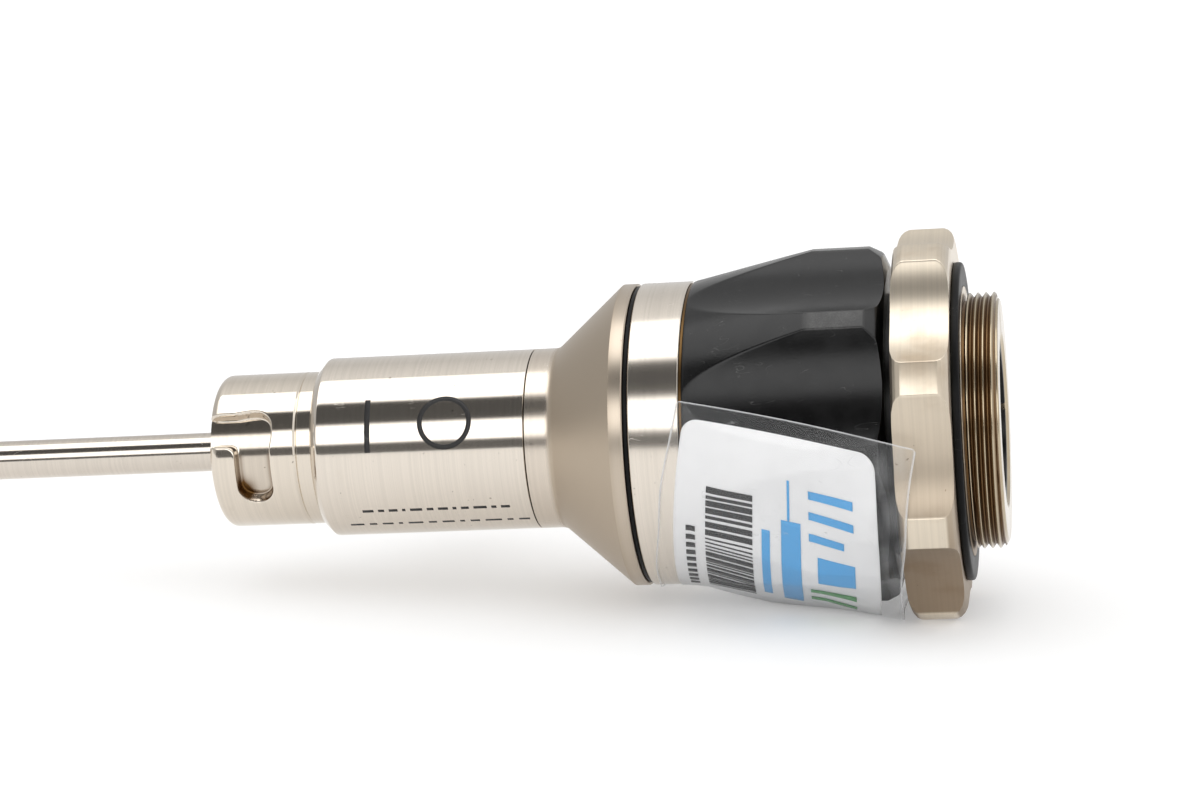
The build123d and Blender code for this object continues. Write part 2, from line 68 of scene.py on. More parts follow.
# Height of the axis over the floor at station zero
SEAT_HEIGHT = 18.93
# Station of the middle of the camera thread's mount
THREAD_MIDDLE = 2.45
# Half the turn between two of the eight hollows of the grip or the nut
HALF_PITCH = 22.5
# Radius of a corner that looks sharp
LEAST_FILLET = 1e-5
# Degrees past which an edge is shaded sharp: turned pieces, cut pieces, the thread, thin sheets
TURNED_CREASE, CUT_CREASE, THREAD_CREASE, SHEET_CREASE = 34.0, 60.0, 70.0, 180.0
# Metres within which two points become one, and an edge is nothing
MERGE_REACH, EDGE_REACH = 2e-7, 1e-7
# Sockets of a Mix node that mixes colours
MIX_FACTOR, MIX_FIRST, MIX_SECOND, MIX_RESULT = 0, 6, 7, 2
WHITE = (1.0, 1.0, 1.0, 1.0)


class Body(Enum):
    """The two halves that turn on each other."""

    TELESCOPE = "telescope"
    COUPLER = "coupler"


class Slot(Enum):
    """Material slots of the record, one named with each new piece."""

    STEEL = "turned_steel"
    TUBE = "tube_steel"
    BLACK = "black_anodised"
    RUBBER = "black_rubber"
    BRONZE = "bronze"
    GLASS = "optical_glass"
    PAPER = "label_paper"
    FILM = "clear_film"


# Shapes worked out with numpy


@dataclass(frozen=True)
class Spindle:
    """An axis that pieces are turned about, with its zero point and its front and upward."""

    seat: np.ndarray
    along: np.ndarray
    front: np.ndarray
    upward: np.ndarray

    @classmethod
    def of_scope(cls, record: dict) -> Spindle:
        """Read the instrument's axis from the camera thread's mount.

        Args:
            record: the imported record.

        Returns:
            The axis, with its zero at the nut's rear face.
        """
        mount = next(m for m in record["mounts"] if m["name"] == "camera_thread")
        along = np.array(mount["axis"], float)
        along /= np.linalg.norm(along)
        seat = np.array(mount["pos_m"], float) - along * THREAD_MIDDLE * MM
        upward = np.array([-along[2], 0.0, along[0]])
        return cls(seat, along, np.array([0.0, -1.0, 0.0]), upward)

    def branch(self, station: float, turn: float) -> Spindle:
        """Axis of a piece that stands out sideways.

        Args:
            station: where it leaves this axis.
            turn: the way it points, round this axis.

        Returns:
            An axis whose zero is on this one and whose stations run outwards.
        """
        out = self.front * np.cos(np.radians(turn)) + self.upward * np.sin(np.radians(turn))
        root = self.seat + self.along * station * MM
        return Spindle(root, out, self.along, np.cross(out, self.along))

    def place(self, station: np.ndarray, radius: np.ndarray, turn: np.ndarray) -> np.ndarray:
        """Turn stations, radii and turns into points.

        The point is the seat, plus the station along the axis, plus the radius in the
        direction that leans from the front by the cosine and upward by the sine of the turn.

        Args:
            station: millimetres along the axis.
            radius: millimetres away from it.
            turn: degrees round it.

        Returns:
            Points in metres, with the arrays' common shape and three numbers at the end.
        """
        station, radius, turn = np.broadcast_arrays(station, radius, np.radians(turn))
        lean = np.cos(turn)[..., None] * self.front + np.sin(turn)[..., None] * self.upward
        return self.seat + MM * (station[..., None] * self.along + radius[..., None] * lean)


def rounded(corners: list[tuple[float, float, float]], steps: int = 6) -> np.ndarray:
    """Closed outline with rounded corners.

    At each corner the two directions to its neighbours give the half angle; the arc starts
    the radius over the tangent of it away from the corner and turns about a centre that
    lies the radius over the sine of it along the bisector. Between the arc's ends the
    spoke from the centre is blended by the sines of the shares of the swept angle.

    Args:
        corners: station, radius and fillet of each corner, in order.
        steps: points on each arc.

    Returns:
        Stations and radii as rows of two.
    """
    table = np.array(corners, float)
    point, fillet = table[:, :2], np.maximum(table[:, 2:], LEAST_FILLET)
    back = np.roll(point, 1, 0) - point
    ahead = np.roll(point, -1, 0) - point
    back /= np.linalg.norm(back, axis=1, keepdims=True)
    ahead /= np.linalg.norm(ahead, axis=1, keepdims=True)
    half = np.arccos(np.clip((back * ahead).sum(1, keepdims=True), -1, 1)) / 2
    bisector = back + ahead
    bisector /= np.linalg.norm(bisector, axis=1, keepdims=True)
    centre = point + bisector * fillet / np.sin(half)
    start = point + back * fillet / np.tan(half) - centre
    end = point + ahead * fillet / np.tan(half) - centre
    swept = np.pi - 2 * half[:, :, None]
    share = np.linspace(0, 1, steps)[None, :, None]
    spoke = np.sin((1 - share) * swept) * start[:, None] + np.sin(share * swept) * end[:, None]
    return (centre[:, None] + spoke / np.sin(swept)).reshape(-1, 2)


def finely(
    outline: np.ndarray, step: float, before: float = np.inf, above: float = 0.0
) -> np.ndarray:
    """Same closed outline with more points on its long runs.

    Args:
        outline: stations and radii.
        step: the longest run that may stay undivided, in millimetres.
        before: only runs at stations up to this one are divided.
        above: only runs at radii from this one up are divided.

    Returns:
        The outline read again at its own arc lengths and at even ones between them.
    """
    ring = np.vstack([outline, outline[:1]])
    reach = np.concatenate([[0], np.cumsum(np.linalg.norm(np.diff(ring, axis=0), axis=1))])
    even = np.arange(0, reach[-1], step)
    wanted = np.interp(even, reach, ring[:, 0]) <= before
    wanted &= np.interp(even, reach, ring[:, 1]) >= above
    marks = np.unique(np.concatenate([reach, even[wanted]]))[:-1]
    return np.stack([np.interp(marks, reach, ring[:, 0]), np.interp(marks, reach, ring[:, 1])], 1)


def round_off(first: np.ndarray, second: np.ndarray, width: float) -> np.ndarray:
    """Lesser of two heights, with the edge between them rounded.

    Where they differ by less than the width, the lesser one drops by a quarter of the width
    times the square of the share that is left.

    Args:
        first: one height.
        second: the other.
        width: how near they have to be for the rounding to start.

    Returns:
        The rounded lesser height.
    """
    share = np.clip(1 - np.abs(first - second) / width, 0, 1)
    return np.minimum(first, second) - share**2 * width / 4


def mound(offset: np.ndarray, width: float) -> np.ndarray:
    """Bell curve: the exponential of less the square of the offset's share of the width."""
    return np.exp(-((offset / width) ** 2))


def skin(
    name: str, points: np.ndarray, wraps: bool, loops: bool, crease: float = TURNED_CREASE
) -> bpy.types.Object:
    """Quads over a grid of points, as an object at the origin.

    Each quad joins a point to the next in its row and to the two beside them in the next row.

    Args:
        name: the piece's name.
        points: rows by columns by three, in metres.
        wraps: whether the last column meets the first.
        loops: whether the last row meets the first.
        crease: the angle in degrees past which an edge is shaded sharp.

    Returns:
        The linked object, with doubles merged and its faces turned outwards.
    """
    rows, columns = points.shape[:2]
    number = np.arange(rows * columns).reshape(rows, columns)
    down = np.arange(rows if loops else rows - 1)
    along = np.arange(columns if wraps else columns - 1)
    first = number[down[:, None], along[None]]
    second = number[down[:, None], (along[None] + 1) % columns]
    third = number[(down[:, None] + 1) % rows, (along[None] + 1) % columns]
    fourth = number[(down[:, None] + 1) % rows, along[None]]
    quads = np.stack([first, second, third, fourth], -1).reshape(-1, 4)
    mesh = bpy.data.meshes.new(name)
    mesh.vertices.add(points.size // 3)
    mesh.vertices.foreach_set("co", points.astype(np.float32).ravel())
    mesh.loops.add(quads.size)
    mesh.loops.foreach_set("vertex_index", quads.astype(np.int32).ravel())
    mesh.polygons.add(len(quads))
    mesh.polygons.foreach_set("loop_start", np.arange(0, quads.size, 4, dtype=np.int32))
    mesh.update(calc_edges=True)
    return settled(name, mesh, crease)


def settled(name: str, mesh: bpy.types.Mesh, crease: float) -> bpy.types.Object:
    """Merge a mesh's doubles, turn its faces outwards, smooth it and link it.

    Args:
        name: the piece's name.
        mesh: the mesh, in metres and in place.
        crease: the angle in degrees past which an edge is shaded sharp.

    Returns:
        The object that holds it.
    """
    work = bmesh.new()
    work.from_mesh(mesh)
    bmesh.ops.remove_doubles(work, verts=work.verts, dist=MERGE_REACH)
    bmesh.ops.dissolve_degenerate(work, edges=work.edges, dist=EDGE_REACH)
    bmesh.ops.recalc_face_normals(work, faces=work.faces)
    work.to_mesh(mesh)
    work.free()
    mesh.polygons.foreach_set("use_smooth", np.ones(len(mesh.polygons), bool))
    mesh.set_sharp_from_angle(angle=np.radians(crease))
    piece = bpy.data.objects.new(name, mesh)
    bpy.context.scene.collection.objects.link(piece)
    return piece


def around(
    piece: bpy.types.Object, spindle: Spindle
) -> tuple[np.ndarray, np.ndarray, np.ndarray]:
    """Station, radius and turn of each of a piece's points.

    The station is the point's share along the axis, the radius what is left across it, and
    the turn the angle whose sine and cosine are its shares upward and to the front.

    Args:
        piece: the piece.
        spindle: the axis that they are measured on.

    Returns:
        Three arrays, in millimetres and degrees.
    """
    place = np.empty(len(piece.data.vertices) * 3)
    piece.data.vertices.foreach_get("co", place)
    away = (place.reshape(-1, 3) - spindle.seat) / MM
    front, upward = away @ spindle.front, away @ spindle.upward
    return away @ spindle.along, np.hypot(front, upward), np.degrees(np.arctan2(upward, front))


def paint(piece: bpy.types.Object, name: str, value: np.ndarray) -> None:
    """Keep a value for each of a piece's points, for its finish to read."""
    layer = piece.data.attributes.new(name, "FLOAT", "POINT")
    layer.data.foreach_set("value", value.astype(np.float32))


def turned(
    name: str, spindle: Spindle, outline: np.ndarray, segments: int = 224
) -> bpy.types.Object:
    """Ring or shaft turned about a spindle: every outline point, at every turn.

    Args:
        name: the piece's name.
        spindle: its axis.
        outline: closed stations and radii.
        segments: how many turns.

    Returns:
        The piece.
    """
    turns = np.linspace(0, 360, segments, endpoint=False)
    return skin(name, spindle.place(outline[:, :1], outline[:, 1:], turns[None]), True, True)


@dataclass(frozen=True)
class Scallops:
    """Hollows cut lengthwise round a turned piece by a round cutter.

    The dip is how much nearer the cutter comes at the start of its run. The lip is the widest
    strip of crowded columns beside a brink, in millimetres, and the lip share the most that
    it takes of the room there; the margin is the least room, in degrees.
    """

    ridge: float
    floor: float
    half_angle: float
    first_turn: float
    count: int = 8
    edge: float = 0.07
    dip: float = 0.0
    dip_run: tuple[float, float] = (0.0, 1.0)
    lip: float = 0.22
    lip_share: float = 0.45
    margin: float = 0.25
    lip_columns: tuple[float, ...] = (-1, -0.55, -0.25, 0, 0.25, 0.55)

    @property
    def cutter(self) -> float:
        """Radius of the cutter.

        It is half the sum of the squares of the hollow's half width and depth, over the depth.

        Returns:
            The radius in millimetres.
        """
        half = np.radians(self.half_angle)
        rise = self.ridge * np.cos(half) - self.floor
        return ((self.ridge * np.sin(half)) ** 2 + rise**2) / (2 * rise)

    def reach(self, station: np.ndarray) -> np.ndarray:
        """Distance of the cutter from the axis, which it nears by the dip over the dip's run.

        Args:
            station: along the axis.

        Returns:
            The distance in millimetres.
        """
        start, stop = self.dip_run
        share = np.clip((stop - station) / (stop - start), 0, 1)
        return self.floor + self.cutter - self.dip * share

    def hollow(self, lean: np.ndarray, distance: np.ndarray) -> np.ndarray:
        """Radius left by the cutter at an angle from the hollow's middle.

        It is the near crossing of a ray from the axis with the cutter's circle: the
        distance times the cosine, less the root of the cutter's radius squared without the
        distance times the sine, squared.

        Args:
            lean: the angle from the middle.
            distance: the cutter's distance from the axis.

        Returns:
            The radius in millimetres.
        """
        lean = np.radians(lean)
        inside = np.clip(self.cutter**2 - (distance * np.sin(lean)) ** 2, 0, None)
        near = distance * np.cos(lean) - np.sqrt(inside)
        return np.where(inside > 0, near, distance)

    def brink(self, radius: np.ndarray, distance: np.ndarray) -> np.ndarray:
        """Half angle of the hollow where the turned piece has a radius, zero below its floor.

        By the law of cosines in the triangle of axis, brink and cutter's centre.

        Args:
            radius: the turned piece's radius.
            distance: the cutter's distance from the axis.

        Returns:
            The angle in degrees.
        """
        cosine = (radius**2 + distance**2 - self.cutter**2) / (2 * radius * distance)
        half = np.degrees(np.arccos(np.clip(cosine, -1, 1)))
        return np.where(radius > distance - self.cutter, half, 0.0)

    def cut(self, name: str, spindle: Spindle, outline: np.ndarray) -> bpy.types.Object:
        """Turned piece with the hollows cut.

        In each sector the columns crowd at the hollow's brink, so the edge runs along
        them; the radius is the lesser of the outline's and the cutter's.

        Args:
            name: the piece's name.
            spindle: its axis.
            outline: closed stations and radii, finely divided.

        Returns:
            The piece.
        """
        pitch = 180 / self.count
        radius = outline[:, 1:]
        distance = self.reach(outline[:, :1])
        brink = np.clip(self.brink(radius, distance), self.margin, pitch - self.margin)
        room = np.minimum(brink, pitch - brink) * self.lip_share
        room = np.minimum(room, np.degrees(self.lip / radius))
        inner = np.linspace(0, 1, 13)[None, :-1] * (brink - room)
        edge = brink + room * np.array([self.lip_columns])
        outer = brink + room + np.linspace(0, 1, 4)[None] * (pitch - brink - room)
        lean = np.hstack([inner, edge, outer])
        lean = np.hstack([-lean[:, :0:-1], lean[:, :-1]])
        whole = np.broadcast_to(radius, lean.shape)
        depth = round_off(whole, self.hollow(lean, distance), self.edge)
        centres = self.first_turn + 2 * pitch * np.arange(self.count)
        turns = (centres[None, :, None] + lean[:, None, :]).reshape(len(outline), -1)
        points = spindle.place(outline[:, :1], np.tile(depth, (1, self.count)), turns)
        return skin(name, points, True, True)


def sheet(name: str, points: np.ndarray, thickness: float) -> bpy.types.Object:
    """Thin sheet over an open grid of points.

    Args:
        name: the piece's name.
        points: rows by columns by three, in metres.
        thickness: in millimetres, added outwards.

    Returns:
        The sheet, with its wall given by a modifier.
    """
    piece = skin(name, points, False, False, SHEET_CREASE)
    solid = piece.modifiers.new("wall", "SOLIDIFY")
    solid.thickness = thickness * MM
    solid.offset = 1.0
    return piece


# Finishes and the effects that they share


class Canvas:
    """Short hand for filling one node tree."""

    def __init__(self, tree: bpy.types.NodeTree) -> None:
        """Work on a tree."""
        self.tree = tree

    def add(self, kind: str, **settings: object) -> bpy.types.Node:
        """Add a node.

        Args:
            kind: its type name.
            **settings: properties to set on it.

        Returns:
            The node.
        """
        node = self.tree.nodes.new(kind)
        for key, value in settings.items():
            setattr(node, key, value)
        return node

    def feed(self, socket: bpy.types.NodeSocket, value: object) -> None:
        """Link a socket to another, or set its number.

        Args:
            socket: an input.
            value: the output to link it to, or the number or colour to set.
        """
        if isinstance(value, bpy.types.NodeSocket):
            self.tree.links.new(value, socket)
        else:
            socket.default_value = value

    def math(self, operation: str, *values: object, clamp: bool = False) -> bpy.types.NodeSocket:
        """Work out a sum.

        Args:
            operation: the Math node's operation.
            *values: sockets or numbers.
            clamp: whether the result stays between 0 and 1.

        Returns:
            The result's socket.
        """
        node = self.add("ShaderNodeMath", operation=operation, use_clamp=clamp)
        for socket, value in zip(node.inputs, values):
            self.feed(socket, value)
        return node.outputs[0]

    def spots(self, stretch: tuple[float, float, float], detail: float) -> bpy.types.NodeSocket:
        """Cloudy noise in the instrument's own axes.

        Args:
            stretch: cycles per millimetre along the axis, across it and up.
            detail: octaves.

        Returns:
            A value of about 0.5 that varies over the surface.
        """
        place = self.add("ShaderNodeTexCoord")
        turn = self.add("ShaderNodeMapping")
        self.feed(turn.inputs["Vector"], place.outputs["Object"])
        turn.inputs["Rotation"].default_value = (0.0, AXIS_TILT, 0.0)
        spread = self.add("ShaderNodeMapping")
        self.feed(spread.inputs["Vector"], turn.outputs[0])
        spread.inputs["Scale"].default_value = tuple(s / MM for s in stretch)
        noise = self.add("ShaderNodeTexNoise")
        self.feed(noise.inputs["Vector"], spread.outputs[0])
        noise.inputs["Scale"].default_value = 1.0
        noise.inputs["Detail"].default_value = detail
        return noise.outputs["Fac"]

    def window(self, value: object, low: object, high: object) -> bpy.types.NodeSocket:
        """Rise smoothly from 0 at a low value to 1 at a high one.

        Args:
            value: a socket.
            low: the low value, a socket or number.
            high: the high value.

        Returns:
            The result's socket.
        """
        node = self.add("ShaderNodeMapRange", interpolation_type="SMOOTHSTEP")
        self.feed(node.inputs["Value"], value)
        self.feed(node.inputs["From Min"], low)
        self.feed(node.inputs["From Max"], high)
        return node.outputs[0]

    def blend(self, factor: object, first: object, second: object) -> bpy.types.NodeSocket:
        """Mix two colours.

        Args:
            factor: 0 gives the first, 1 the second.
            first: a socket or colour.
            second: a socket or colour.

        Returns:
            The result's socket.
        """
        node = self.add("ShaderNodeMix", data_type="RGBA")
        self.feed(node.inputs[MIX_FACTOR], factor)
        self.feed(node.inputs[MIX_FIRST], first)
        self.feed(node.inputs[MIX_SECOND], second)
        return node.outputs[MIX_RESULT]

    def painted(self, name: str) -> bpy.types.NodeSocket:
        """Give the value that a piece carries under a name."""
        return self.add("ShaderNodeAttribute", attribute_name=name).outputs["Fac"]

    def effect(self, tree: bpy.types.NodeTree, **values: object) -> bpy.types.Node:
        """Place a shared effect.

        Args:
            tree: its node group.
            **values: its inputs' values in this material.

        Returns:
            The group's node.
        """
        node = self.add("ShaderNodeGroup", node_tree=tree)
        for key, value in values.items():
            self.feed(node.inputs[key.replace("_", " ")], value)
        return node


class Effects:
    """Node groups that several finishes share, each made once.

    The sizes of their noises are cycles per millimetre along the axis, across it and up.
    """

    COARSE_LINES = (3.2, 0.012, 0.012)
    FINE_LINES = (11.0, 0.03, 0.03)
    CLOUDS = (0.11, 0.16, 0.16)
    GRIT = (1.6, 1.7, 1.6)
    SLASHES = (0.32, 1.9, 0.65)
    SLASHED_PLACES = (0.45, 0.5, 0.4)
    FINE_GRAIN = (7.0, 7.0, 7.0)
    BROAD_GRAIN = (0.5, 0.5, 0.5)

    @staticmethod
    def begin(
        name: str, inputs: dict[str, float], outputs: list[str]
    ) -> tuple[Canvas, bpy.types.Node, bpy.types.Node]:
        """Start a group.

        Args:
            name: the group's name.
            inputs: its input names and their usual values.
            outputs: its output names.

        Returns:
            Its canvas, its input node and its output node.
        """
        tree = bpy.data.node_groups.new(name, "ShaderNodeTree")
        number = "NodeSocketFloat"
        for label, value in inputs.items():
            socket = tree.interface.new_socket(name=label, in_out="INPUT", socket_type=number)
            socket.default_value = value
        for label in outputs:
            tree.interface.new_socket(name=label, in_out="OUTPUT", socket_type=number)
        canvas = Canvas(tree)
        return canvas, canvas.add("NodeGroupInput"), canvas.add("NodeGroupOutput")

    @classmethod
    def turning_lines(cls) -> bpy.types.NodeTree:
        """Fine lines that run round the axis, left by the lathe tool.

        Noise that changes quickly along the axis and hardly across it gives the lines; a
        finer one rides on it.

        Returns:
            The group, made the first time.
        """
        if "turning lines" in bpy.data.node_groups:
            return bpy.data.node_groups["turning lines"]
        canvas, given, result = cls.begin("turning lines", {"Depth": 1.0}, ["Height", "Tone"])
        coarse = canvas.spots(cls.COARSE_LINES, 3.0)
        fine = canvas.spots(cls.FINE_LINES, 1.0)
        both = canvas.math("MULTIPLY_ADD", fine, 0.45, canvas.math("MULTIPLY", coarse, 0.75))
        canvas.feed(result.inputs["Height"], canvas.math("MULTIPLY", both, given.outputs["Depth"]))
        canvas.feed(result.inputs["Tone"], canvas.window(both, 0.42, 0.78))
        return canvas.tree

    @classmethod
    def handling(cls) -> bpy.types.NodeTree:
        """Traces of use: clouds of tarnish, small specks and hairline scratches.

        Tarnish is broad noise above a level, specks are the tops of a fine noise, and a
        scratch is where a slanted, long noise crosses its middle.

        Returns:
            The group, made the first time.
        """
        if "handling" in bpy.data.node_groups:
            return bpy.data.node_groups["handling"]
        outputs = ["Tarnish", "Specks", "Scratches"]
        canvas, given, result = cls.begin("handling", {"Tarnish": 0.4}, outputs)
        clouds = canvas.spots(cls.CLOUDS, 5.0)
        spread = canvas.math("MULTIPLY", given.outputs["Tarnish"], 0.3)
        level = canvas.math("SUBTRACT", 0.78, spread)
        full = canvas.math("ADD", level, 0.22)
        canvas.feed(result.inputs["Tarnish"], canvas.window(clouds, level, full))
        grit = canvas.spots(cls.GRIT, 2.0)
        canvas.feed(result.inputs["Specks"], canvas.window(grit, 0.735, 0.775))
        slash = canvas.spots(cls.SLASHES, 1.0)
        near = canvas.math("ABSOLUTE", canvas.math("SUBTRACT", slash, 0.5))
        gate = canvas.window(canvas.spots(cls.SLASHED_PLACES, 1.0), 0.6, 0.66)
        line = canvas.math("SUBTRACT", 1.0, canvas.window(near, 0.0, 0.006))
        canvas.feed(result.inputs["Scratches"], canvas.math("MULTIPLY", line, gate))
        return canvas.tree

    @classmethod
    def blasted_grain(cls) -> bpy.types.NodeTree:
        """Fine even grain of a blasted or moulded surface, from two sizes of noise.

        Returns:
            The group, made the first time.
        """
        if "blasted grain" in bpy.data.node_groups:
            return bpy.data.node_groups["blasted grain"]
        canvas, given, result = cls.begin("blasted grain", {"Depth": 1.0}, ["Height", "Tone"])
        fine = canvas.spots(cls.FINE_GRAIN, 2.0)
        broad = canvas.spots(cls.BROAD_GRAIN, 4.0)
        canvas.feed(result.inputs["Height"], canvas.math("MULTIPLY", fine, given.outputs["Depth"]))
        mixed = canvas.math("MULTIPLY_ADD", broad, 0.6, canvas.math("MULTIPLY", fine, 0.4))
        canvas.feed(result.inputs["Tone"], canvas.window(mixed, 0.4, 0.62))
        return canvas.tree


@dataclass(frozen=True)
class Finish:
    """What every finish has: a name, a colour and a roughness."""

    name: str
    colour: tuple[float, float, float]
    roughness: float

    def begin(self) -> tuple[bpy.types.Material, Canvas, bpy.types.Node]:
        """Start the material.

        Returns:
            The material, its canvas and its shader, with the colour and roughness set.
        """
        material = bpy.data.materials.new(self.name)
        material.use_nodes = True
        canvas = Canvas(material.node_tree)
        shader = material.node_tree.nodes["Principled BSDF"]
        shader.inputs["Base Color"].default_value = (*self.colour, 1.0)
        shader.inputs["Roughness"].default_value = self.roughness
        return material, canvas, shader

    def shades(self, darkest: float) -> tuple[tuple[float, ...], tuple[float, ...]]:
        """Give the colour at a share of its brightness, and whole."""
        return (*(darkest * c for c in self.colour), 1.0), (*self.colour, 1.0)

    def raise_bump(
        self, canvas: Canvas, shader: bpy.types.Node, height: object, distance: float
    ) -> None:
        """Feed a height to the shader's normal.

        Args:
            canvas: the material's canvas.
            shader: its Principled shader.
            height: the socket that gives the height.
            distance: the height of one, in millimetres.
        """
        bump = canvas.add("ShaderNodeBump")
        bump.inputs["Distance"].default_value = distance * MM
        canvas.feed(bump.inputs["Height"], height)
        canvas.feed(shader.inputs["Normal"], bump.outputs[0])

    def made(self) -> bpy.types.Material:
        """Give the material, building it the first time."""
        return bpy.data.materials.get(self.name) or self.build()

    def build(self) -> bpy.types.Material:
        """Build the material; each kind of finish has its own way."""
        raise NotImplementedError


@dataclass(frozen=True)
class TurnedSteel(Finish):
    """Stainless steel as it leaves the lathe, warm grey and a little tarnished."""

    stain: tuple[float, float, float] = (0.36, 0.25, 0.15)
    speck: tuple[float, float, float] = (0.12, 0.09, 0.06)
    # This brown, its roughness and its switch serve both real grime and painted shade
    grime_and_shade: tuple[float, float, float] = (0.13, 0.065, 0.02)
    blasted: tuple[float, float, float] = (0.47, 0.395, 0.31)
    tarnish: float = 0.4
    darkest: float = 0.93
    stained: float = 0.45
    specked: float = 0.6
    line_depth: float = 0.0035
    scratch_depth: float = -0.6
    tarnish_rough: float = 0.1
    scratch_rough: float = 0.25
    grime_and_shade_rough: float = 0.2
    matt_rough: float = 0.14
    has_grime_and_shade: bool = False
    matt: bool = False

    def build(self) -> bpy.types.Material:
        """Lines give height and tone, use gives stains, specks and scratches.

        Where the piece carries grime and painted shade, or a matt share of its own, each
        blends the colour and adds to the roughness.

        Returns:
            The material.
        """
        material, canvas, shader = self.begin()
        shader.inputs["Metallic"].default_value = 1.0
        lathe = canvas.effect(Effects.turning_lines(), Depth=1.0)
        use = canvas.effect(Effects.handling(), Tarnish=self.tarnish)
        colour = canvas.blend(lathe.outputs["Tone"], *self.shades(self.darkest))
        weak = canvas.math("MULTIPLY", use.outputs["Tarnish"], self.stained)
        colour = canvas.blend(weak, colour, (*self.stain, 1.0))
        specks = canvas.math("MULTIPLY", use.outputs["Specks"], self.specked)
        colour = canvas.blend(specks, colour, (*self.speck, 1.0))
        tarnish, scratches = use.outputs["Tarnish"], use.outputs["Scratches"]
        rough = canvas.math("MULTIPLY_ADD", tarnish, self.tarnish_rough, self.roughness)
        rough = canvas.math("MULTIPLY_ADD", scratches, self.scratch_rough, rough)
        # Painted shade and grime: the piece's painted value darkens the colour towards brown
        if self.has_grime_and_shade:
            grime_and_shade = canvas.painted("grime_and_shade")
            colour = canvas.blend(grime_and_shade, colour, (*self.grime_and_shade, 1.0))
            rough = canvas.math("MULTIPLY_ADD", grime_and_shade, self.grime_and_shade_rough, rough)
        if self.matt:
            matt = canvas.painted("matt")
            colour = canvas.blend(matt, colour, (*self.blasted, 1.0))
            rough = canvas.math("MULTIPLY_ADD", matt, self.matt_rough, rough)
        canvas.feed(shader.inputs["Base Color"], colour)
        canvas.feed(shader.inputs["Roughness"], rough)
        cut = canvas.math("MULTIPLY", scratches, self.scratch_depth)
        height = canvas.math("ADD", lathe.outputs["Height"], cut)
        self.raise_bump(canvas, shader, height, self.line_depth)
        return material


@dataclass(frozen=True)
class BlastedBlack(Finish):
    """Black with a fine grain: anodised metal or rubber."""

    shine: float = 0.5
    worn: tuple[float, float, float] = (0.085, 0.084, 0.082)
    darkest: float = 0.6
    scratched: float = 0.8
    specked: float = 0.35
    grain: float = 0.006
    grain_rough: float = 0.06
    rubbed: bool = False

    def build(self) -> bpy.types.Material:
        """Grain gives height and tone, use gives pale scratches and rubbed lands.

        Returns:
            The material.
        """
        material, canvas, shader = self.begin()
        shader.inputs["Specular IOR Level"].default_value = self.shine
        grain = canvas.effect(Effects.blasted_grain(), Depth=1.0)
        use = canvas.effect(Effects.handling(), Tarnish=0.5)
        colour = canvas.blend(grain.outputs["Tone"], *self.shades(self.darkest))
        marks = canvas.math("MULTIPLY", use.outputs["Scratches"], self.scratched)
        marks = canvas.math("MULTIPLY_ADD", use.outputs["Specks"], self.specked, marks)
        if self.rubbed:
            patchy = canvas.math("MULTIPLY_ADD", grain.outputs["Tone"], 0.5, 0.6)
            rubbed = canvas.math("MULTIPLY", canvas.painted("wear"), patchy)
            marks = canvas.math("MAXIMUM", marks, rubbed)
        colour = canvas.blend(marks, colour, (*self.worn, 1.0))
        tone = grain.outputs["Tone"]
        rough = canvas.math("MULTIPLY_ADD", tone, self.grain_rough, self.roughness)
        canvas.feed(shader.inputs["Base Color"], colour)
        canvas.feed(shader.inputs["Roughness"], rough)
        self.raise_bump(canvas, shader, grain.outputs["Height"], self.grain)
        return material


@dataclass(frozen=True)
class ClearGlass(Finish):
    """Coated optical glass with faint dust."""

    index: float = 1.5
    dust_rough: float = 0.05

    def build(self) -> bpy.types.Material:
        """Glass whose roughness rises a little where dust lies.

        Returns:
            The material.
        """
        material, canvas, shader = self.begin()
        shader.inputs["Transmission Weight"].default_value = 1.0
        shader.inputs["IOR"].default_value = self.index
        dust = canvas.effect(Effects.handling(), Tarnish=0.3).outputs["Tarnish"]
        rough = canvas.math("MULTIPLY_ADD", dust, self.dust_rough, self.roughness)
        canvas.feed(shader.inputs["Roughness"], rough)
        return material


@dataclass(frozen=True)
class PrintedPaper(Finish):
    """Coated label stock or print on it, slightly uneven."""

    gloss: float = 0.3
    coat_roughness: float = 0.12
    darkest: float = 0.965
    grain: float = 0.002

    def build(self) -> bpy.types.Material:
        """Broad, faint noise tones the colour; a coat gives the sheen.

        Returns:
            The material.
        """
        material, canvas, shader = self.begin()
        shader.inputs["Coat Weight"].default_value = self.gloss
        shader.inputs["Coat Roughness"].default_value = self.coat_roughness
        grain = canvas.effect(Effects.blasted_grain(), Depth=1.0)
        colour = canvas.blend(grain.outputs["Tone"], *self.shades(self.darkest))
        canvas.feed(shader.inputs["Base Color"], colour)
        self.raise_bump(canvas, shader, grain.outputs["Height"], self.grain)
        return material


@dataclass(frozen=True)
class ClearFilm(Finish):
    """Clear sticky film, seen by its edge, its folds and its shine."""

    shine: float = 0.9
    veil: float = 0.032
    edge_veil: float = 0.5
    scratch_veil: float = 0.22

    def build(self) -> bpy.types.Material:
        """Almost clear, whiter along the painted edge and in the creases.

        Returns:
            The material.
        """
        material, canvas, shader = self.begin()
        shader.inputs["Specular IOR Level"].default_value = self.shine
        use = canvas.effect(Effects.handling(), Tarnish=0.3)
        veil = canvas.math("MULTIPLY_ADD", canvas.painted("edge"), self.edge_veil, self.veil)
        veil = canvas.math("MULTIPLY_ADD", use.outputs["Scratches"], self.scratch_veil, veil)
        canvas.feed(shader.inputs["Alpha"], veil)
        return material


